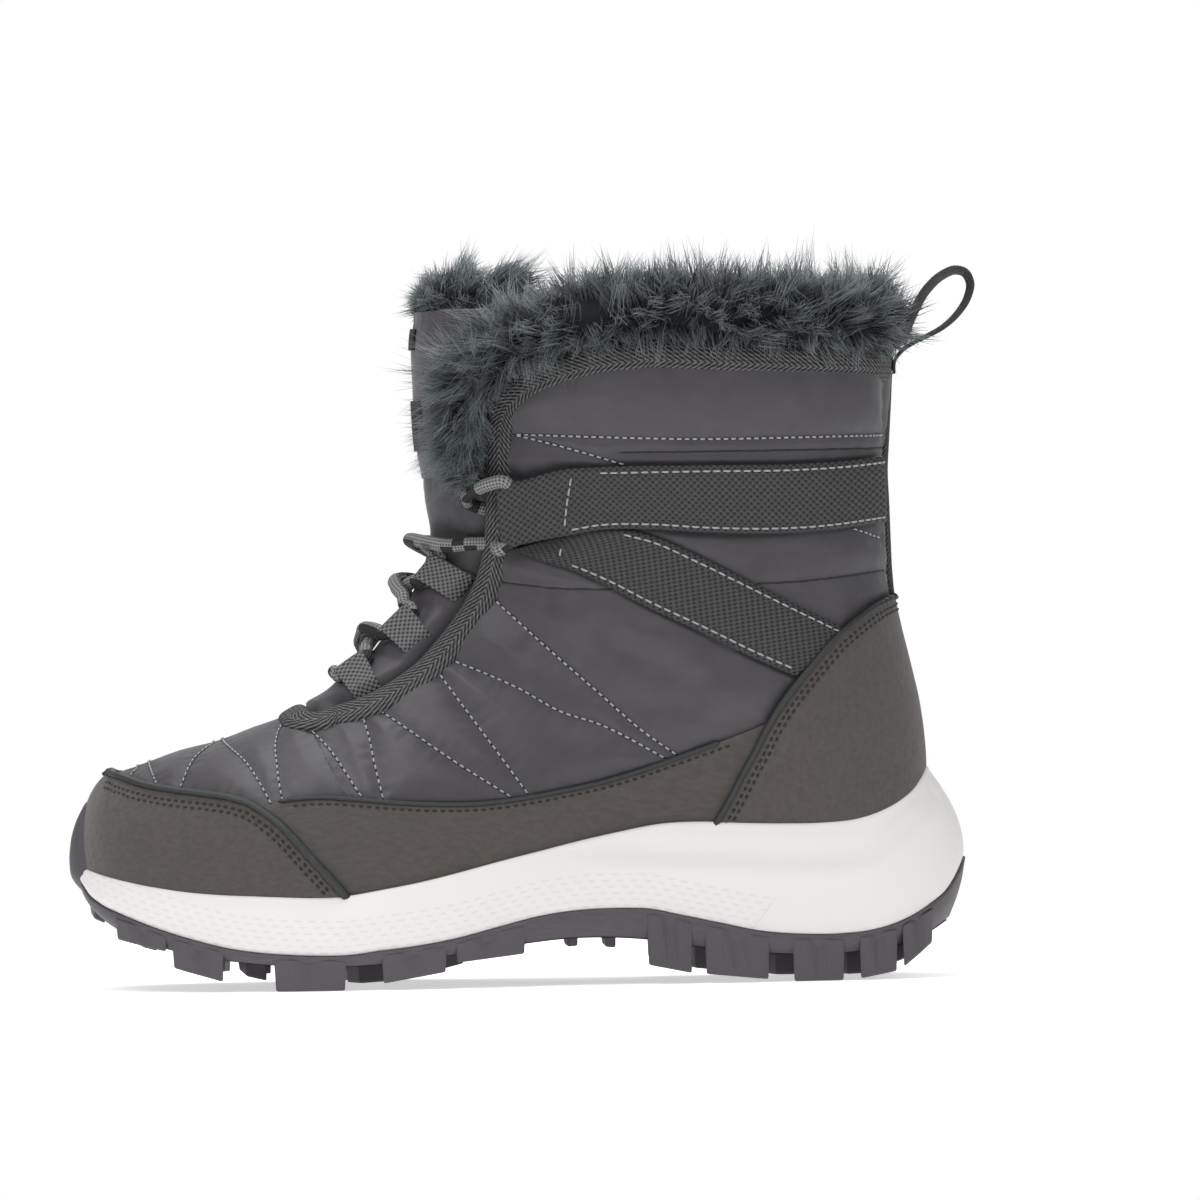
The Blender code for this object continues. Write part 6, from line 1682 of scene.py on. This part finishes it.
scan = np.linspace(0, 1, 401)
cut = [q for q in scan if share_below_feather(q, 0.0) < 0.9995]
ring_stations = np.concatenate([[cut[0] - 1 / 800], np.linspace(cut[0], cut[-1], 260), [cut[-1] + 1 / 800]])
ring_shares = np.array([share_below_feather(q, 0.0) for q in ring_stations])
ring_shares[[0, -1]] = 1.0
ring_turn = np.linspace(0, 1, RING + 1)
ring_spacing = ring_turn / 2 + (1 - np.cos(ring_turn * math.pi)) / 4
ring_picks = np.rint(ring_spacing * 2000).astype(int)
ring_sides = [resample(last_point(ring_stations, ring_shares, side), 2001)[ring_picks] for side in SIDES]
feather_ring = np.concatenate([ring_sides[0], ring_sides[1][-2:0:-1]])
for _ in range(6):
    before, after = np.roll(feather_ring, 1, axis=0), np.roll(feather_ring, -1, axis=0)
    feather_ring = 0.25 * before + 0.5 * feather_ring + 0.25 * after
feather_way = plan_way(feather_ring)
for _ in range(10):
    feather_way = feather_way + np.roll(feather_way, 1, axis=0) + np.roll(feather_way, -1, axis=0)
    feather_way = unit(feather_way)
TOTAL = len(feather_ring)
ring_share = (feather_ring[:, 0] - DATUM[0]) / BOOT_LENGTH + 0.5
ring_flare = smooth(FLARES[:, 0], FLARES[:, 1] * HEEL_WIDTH, ring_share)
lip_out = FEATHER_SPARE + LIP
foot_ring = feather_ring + feather_way * (lip_out + ring_flare)[:, None]
foot_ring[:, 2] = midsole_foot(foot_ring[:, 0])
top_ring = feather_ring + feather_way * lip_out
ring_tall = top_ring[:, 2] - foot_ring[:, 2]
crease_up = np.interp(foot_ring[:, 0], MIDSOLE_CREASE[:, 0], MIDSOLE_CREASE[:, 1], left=-1.0, right=-1.0)
crease_fade = np.clip((foot_ring[:, 0] - MIDSOLE_CREASE[0, 0]) / 0.02, 0, 1)
midsole_rows = [feather_ring + feather_way * out - [0, 0, deep] for out, deep in ((0.0006, 0.0060), (0.0014, 0.0020))]
for turned in np.linspace(0, math.pi / 2, 5):
    row = feather_ring + feather_way * (lip_out - LIP * (1.0 - math.sin(turned)))
    row[:, 2] += LIP * math.cos(turned) - LIP
    midsole_rows.append(row)
for down in np.linspace(0.04, 0.94, 34):
    swell = 1 - (1 - down) ** 1.7
    out = lip_out + ring_flare * swell + 0.0009 * math.sin(math.pi * down)
    height = top_ring[:, 2] - LIP - (ring_tall - LIP) * down
    gap = (height - crease_up) / 0.0032
    out = out - crease_fade * 0.0011 * np.exp(-gap**2) + crease_fade * 0.0007 * np.exp(-((gap + 1.9) ** 2))
    row = feather_ring + feather_way * out[:, None]
    row[:, 2] = height
    midsole_rows.append(row)
for turned in np.linspace(0, math.pi / 2, 4):
    row = foot_ring - feather_way * (0.0006 * (1 - math.cos(turned)))
    row[:, 2] += 0.0006 * (1 - math.sin(turned))
    midsole_rows.append(row)
midsole_rows.append(foot_ring - feather_way * 0.02)
midsole_run = path_run(foot_ring)


def ring_grid(name, rows, finish, node):
    """A closed band from rings, one above the other."""
    count = len(rows)
    points = np.concatenate([np.concatenate([row, row[:1]]) for row in rows])
    along = np.concatenate([midsole_run, [midsole_run[-1] + 0.001]])
    up = np.stack([np.concatenate([row - foot_ring, (row - foot_ring)[:1]])[:, 2] for row in rows])
    uv = np.stack(np.broadcast_arrays(along[None], up), axis=-1)
    made = shape(name, points, grid_quads(count, TOTAL + 1, flip=True), finish, uv=uv)
    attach(made, "root")
    if node:
        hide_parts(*node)
    return made


white_foam, nodes, links, shader = new_material("white_foam", 0.62)
foam_grain = noise_node(nodes, links, 1500.0, 2.0)
foam_tone = ramp_node(nodes, links, foam_grain.outputs["Fac"],
                      [(0.3, (0.650, 0.640, 0.627)), (0.7, (0.675, 0.665, 0.652))])
foam_cut = nodes.new("ShaderNodeSeparateXYZ")
links.new(along_across(nodes), foam_cut.inputs["Vector"])
foam_place = nodes.new("ShaderNodeTexCoord")
foam_split = nodes.new("ShaderNodeSeparateXYZ")
links.new(foam_place.outputs["Object"], foam_split.inputs["Vector"])
foam_maths = maths_in(nodes, links)
foam_row = foam_maths("MULTIPLY", foam_cut.outputs["Y"], 520.0)
foam_run = foam_maths("ADD", foam_maths("MULTIPLY", foam_cut.outputs["X"], 230.0),
                      foam_maths("MULTIPLY", foam_maths("FLOOR", foam_row), 0.37))
foam_long = foam_maths("LESS_THAN", foam_maths("FRACT", foam_run), 0.50)
foam_middle = foam_maths("SUBTRACT", foam_maths("FRACT", foam_row), 0.5)
foam_thin = foam_maths("LESS_THAN", foam_maths("ABSOLUTE", foam_middle), 0.14)
foam_edge = foam_maths("SUBTRACT", foam_split.outputs["X"], foam_maths("MULTIPLY", foam_split.outputs["Z"], 0.75))
foam_zone = foam_maths("LESS_THAN", foam_edge, 0.0580)
foam_high = foam_maths("LESS_THAN", foam_cut.outputs["Y"], 0.0108)
foam_dash = foam_maths("MULTIPLY", foam_maths("MULTIPLY", foam_long, foam_thin),
                       foam_maths("MULTIPLY", foam_zone, foam_high))
foam_line = foam_maths("MULTIPLY", foam_maths("COMPARE", foam_edge, 0.0580, 0.00025), foam_high)
foam_height = foam_maths("SUBTRACT", foam_dash, foam_maths("MULTIPLY", foam_line, 0.8))
# The moulded dashes and the groove line are painted a darker grey: painted shade on the white foam.
foam_dash_shade = foam_maths("MULTIPLY", foam_maths("MAXIMUM", foam_dash, foam_line), 0.30)
foam_colour = mixed_node(nodes, links, foam_tone.outputs["Color"], (0.50, 0.49, 0.475, 1.0), foam_dash_shade, "MIX")
foam_bump = bump_node(nodes, links, foam_height, 0.5, 0.0004)
foam_fine = bump_node(nodes, links, foam_grain.outputs["Fac"], 0.05, 0.0001, foam_bump.outputs["Normal"])
finished(shader, links, foam_colour, foam_fine)
ring_grid("midsole_foam", midsole_rows, white_foam, ["midsole"])

# Glue line: the thin brownish edge of cement that shows where the upper goes down into the midsole.

GLUE_STOPS = [(0.3, (0.050, 0.036, 0.026)), (0.7, (0.16, 0.13, 0.10))]
glue = grained("glue", 0.55, 300.0, 3.0, GLUE_STOPS, 0.3, 0.0003)
glue_rows = []
for turned in np.linspace(0.1, math.pi - 0.1, 5):
    row = feather_ring + feather_way * (FEATHER_SPARE - 0.0002 + 0.0006 * math.cos(turned))
    row[:, 2] += -0.0006 + 0.0008 * math.sin(turned)
    glue_rows.append(row)
ring_grid("glue_line", glue_rows[::-1], glue, None)

# Outsole: one moulding of dark rubber: a band round the foot of the midsole, lugs down both sides with folded faces,
# chevrons between them, ribs under the arch, and a bumper up over the toe.

rubber, nodes, links, shader = new_material("rubber", 0.62)
rubber_cloud = noise_node(nodes, links, 60.0, 3.0)
rubber_tone = ramp_node(nodes, links, rubber_cloud.outputs["Fac"],
                        [(0.3, (0.055, 0.049, 0.058)), (0.7, (0.070, 0.063, 0.073))])
rubber_grain = noise_node(nodes, links, 1600.0, 3.0)
rubber_bump = bump_node(nodes, links, rubber_grain.outputs["Fac"], 0.25, 0.0002)
finished(shader, links, rubber_tone.outputs["Color"], rubber_bump)

SOLE_PROUD = 0.0006
BASE_IN = np.array([
    (0.000, 0.062), (0.030, 0.056), (0.080, 0.036), (0.160, 0.024), (0.350, 0.020), (0.500, 0.022),
    (0.640, 0.022), (0.800, 0.024), (0.880, 0.032), (0.930, 0.060), (0.957, 0.095),
])
edge_ring = foot_ring + feather_way * SOLE_PROUD
base_in = smooth(BASE_IN[:, 0], BASE_IN[:, 1] * HEEL_WIDTH, ring_share)
base_ring = edge_ring - feather_way * base_in[:, None]
base_ring[:, 2] = base_height(base_ring[:, 0])
outsole_rows = [foot_ring - feather_way * 0.004, foot_ring - feather_way * 0.0002]
for row in outsole_rows:
    row[:, 2] -= 0.0001
for turned in np.linspace(0.2, math.pi / 2, 4):
    row = edge_ring - feather_way * (0.0006 * (1 - math.sin(turned)))
    row[:, 2] -= 0.0001 + 0.0006 * (1 - math.cos(turned))
    outsole_rows.append(row)
for down in np.linspace(0.12, 0.94, 12):
    row = edge_ring + (base_ring - edge_ring) * down
    row[:, :2] += feather_way[:, :2] * (0.0010 * math.sin(math.pi * down))
    outsole_rows.append(row)
outsole_rows.append(base_ring - feather_way * 0.0008)
outsole_band = ring_grid("outsole_band", outsole_rows, rubber, ["outsole"])
half = RING + 1
base_sides = [base_ring[:half], np.roll(base_ring[::-1], 1, axis=0)[:half]]
lay = np.linspace(0, 1, 25)
under_points = base_sides[0][:, None] + (base_sides[1] - base_sides[0])[:, None] * lay[None, :, None]
outsole_under = welded(shape("outsole_underside", under_points, grid_quads(half, 25), rubber), 2e-5)
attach(outsole_under, "root")
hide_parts("outsole")

SIDE_LUGS = [
    # start and end along, height of the underside at each end, reach inwards
    (0.055, 0.113, 0.083, 0.064, 0.14), (0.118, 0.176, 0.038, 0.016, 0.17), (0.231, 0.311, 0.000, 0.000, 0.19),
    (0.350, 0.422, 0.010, 0.026, 0.19), (0.431, 0.509, 0.040, 0.052, 0.17), (0.642, 0.693, 0.030, 0.016, 0.15),
    (0.7055, 0.7775, 0.014, 0.004, 0.18), (0.8025, 0.8605, 0.000, 0.000, 0.19), (0.8765, 0.9195, 0.002, 0.012, 0.17),
    (0.9245, 0.960, 0.018, 0.055, 0.13),
]
MIDDLE_LUGS = [
    (0.022, 0.042, 0.118, 0.106, 0.17), (0.072, 0.100, 0.070, 0.060, 0.12), (0.138, 0.172, 0.030, 0.022, 0.19),
    (0.186, 0.222, 0.026, 0.014, 0.36), (0.306, 0.354, 0.004, 0.008, 0.21), (0.404, 0.440, 0.022, 0.034, 0.19),
    (0.548, 0.566, 0.058, 0.060, 0.30), (0.590, 0.608, 0.058, 0.056, 0.30), (0.684, 0.716, 0.020, 0.016, 0.12),
    (0.772, 0.808, 0.006, 0.006, 0.13), (0.852, 0.886, 0.004, 0.006, 0.13),
    (0.908, 0.945, 0.016, 0.040, 0.17),
]
LUG_ROUND = 0.0007
LUG_FOLDS = np.array([0.0006, 0.0006, -0.0012, 0.0006, 0.0006, 0.0013, 0.0013, 0.0013])


def lug_block(name, plan, lid, foot, inset):
    """A rubber block: its plan at the top, drawn in towards its foot, with rounded edges."""
    plan, centre = np.asarray(plan, float), np.mean(plan, axis=0)
    low = centre + (plan - centre) * (1 - np.asarray(inset) / np.linalg.norm(plan - centre, axis=1))[:, None]
    top = np.column_stack([plan, lid])
    bottom = np.column_stack([low, foot])
    count = len(plan)
    mesh = bpy.data.meshes.new(name)
    faces = [tuple(range(count)), tuple(range(2 * count - 1, count - 1, -1))]
    faces += [(i, (i + 1) % count, count + (i + 1) % count, count + i) for i in range(count)]
    mesh.from_pydata(np.concatenate([top, bottom]).tolist(), [], faces)
    bm = bmesh.new()
    bm.from_mesh(mesh)
    bmesh.ops.recalc_face_normals(bm, faces=bm.faces)
    bmesh.ops.bevel(bm, geom=list(bm.edges), offset=LUG_ROUND, segments=2, profile=0.6, affect="EDGES",
                    clamp_overlap=True)
    for face in bm.faces:
        face.smooth = face.calc_area() < 4e-6
    bm.to_mesh(mesh)
    bm.free()
    mesh.materials.append(rubber)
    made = link_object(name, mesh)
    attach(made, "root")
    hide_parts("outsole")


edge_sides = [edge_ring[:half], np.roll(edge_ring[::-1], 1, axis=0)[:half]]
for side, edge_half, word in zip(SIDES, edge_sides, ("lateral", "medial")):
    climb = np.maximum.accumulate(edge_half[:, 0] + np.arange(half) * 1e-9)
    for number, (start, end, low_start, low_end, reach) in enumerate(SIDE_LUGS, 1):
        x0, x1 = (np.array([start, end]) - 0.5) * BOOT_LENGTH + DATUM[0]
        xs = np.linspace(x0, x1, 5)
        outer = np.interp(xs, climb, edge_half[:, 1]) + side * np.array([0.0004, 0.0015, -0.0006, 0.0015, 0.0004])
        depth = reach * BALL_WIDTH
        inner_x = np.array([x1 - 0.0012, (x0 + x1) / 2, x0 + 0.0012])
        inner = np.interp(inner_x, climb, edge_half[:, 1]) - side * (depth + np.array([0, 0.004, 0]))
        plan = np.column_stack([np.concatenate([xs, inner_x]), np.concatenate([outer, inner])])
        lid = np.concatenate([midsole_foot(xs) - 0.0016, base_height(inner_x) + 0.0020])
        share = (plan[:, 0] - x0) / (x1 - x0)
        foot = (low_start + (low_end - low_start) * share) * COLLAR_HEIGHT
        lug_block(f"lug_{word}_{number}", plan, lid, foot, LUG_FOLDS)
for number, (start, end, low_start, low_end, width) in enumerate(MIDDLE_LUGS, 1):
    x0, x1 = (np.array([start, end]) - 0.5) * BOOT_LENGTH + DATUM[0]
    middle = (x0 + x1) / 2
    centre = np.mean([np.interp(middle, np.maximum.accumulate(line[:, 0]), line[:, 1]) for line in base_sides])
    wide, bend = width * BALL_WIDTH, (x1 - x0) * 0.35
    plan = np.array([(x0 + bend, centre - wide), (x0, centre), (x0 + bend, centre + wide),
                     (x1, centre + wide), (x1 - bend, centre), (x1, centre - wide)])
    share = (plan[:, 0] - x0) / (x1 - x0)
    foot = (low_start + (low_end - low_start) * share) * COLLAR_HEIGHT
    lug_block(f"lug_middle_{number}", plan, base_height(plan[:, 0]) + 0.0020, foot, 0.0008)

# Toe bumper: the outsole's own rubber carried up over the front of the toe cap, thin at its top.

BUMPER = np.array([
    (-0.0110, 0.0006, 0.0190), (-0.0085, 0.0024, 0.0190), (-0.0040, 0.0056, 0.0188), (0.0010, 0.0060, 0.0180),
    (0.0060, 0.0054, 0.0162), (0.0110, 0.0047, 0.0140), (0.0155, 0.0040, 0.0118), (0.0185, 0.0034, 0.0098),
    (0.0203, 0.0030, 0.0076), (0.0212, 0.0024, 0.0050), (0.0216, 0.0018, 0.0022),
])
bumper_rows = []
for rise in np.linspace(BUMPER[0, 0], BUMPER[-1, 0], 30):
    far = float(smooth(BUMPER[:, 0], BUMPER[:, 1], rise))
    half_run = float(smooth(BUMPER[:, 0], BUMPER[:, 2], rise))
    stations = np.linspace(0, 0.6, 300)
    shares = np.array([share_below_feather(q, -rise) for q in stations])
    kept = np.nonzero((shares > 0) & (shares < 0.9995))[0]
    stations, shares = stations[kept[0] - 1 : kept[-1] + 1], shares[kept[0] - 1 : kept[-1] + 1]
    loop = np.concatenate([last_point(stations, shares, LATERAL)[::-1], last_point(stations, shares, MEDIAL)[1:]])
    run = path_run(loop)
    run -= run[len(stations) - 1]
    at = np.linspace(-half_run, half_run, 33)
    spots = read_at(loop, run, at)
    tangent = read_at(loop, run, at + 0.003) - read_at(loop, run, at - 0.003)
    out = np.stack([-tangent[:, 1], tangent[:, 0], np.zeros(33)], axis=1)
    out = unit(out)
    out *= np.where(out[:, :1] > 0, -1, 1)
    taper = 1 - np.clip((np.abs(at) / half_run - 0.55) / 0.45, 0, 1) ** 2 * 0.8
    bumper_rows.append(spots + out * (far * taper)[:, None])
bumper = facing_out(shape("toe_bumper", np.array(bumper_rows), grid_quads(30, 33), rubber))
thickened(bumper, 0.0016)
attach(bumper, "root")
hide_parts("outsole")

# Insole: a flat footbed of felt that lies on the midsole inside the upper.

FELT_STOPS = [(0.3, (0.040, 0.040, 0.043)), (0.7, (0.075, 0.075, 0.080))]
felt = grained("felt", 0.95, 700.0, 4.0, FELT_STOPS, 0.6, 0.0006)
for held in bpy.context.scene.objects:
    if held.type == "MESH" and held.name.startswith("insole"):
        held.data.materials.clear()
        held.data.materials.append(felt)
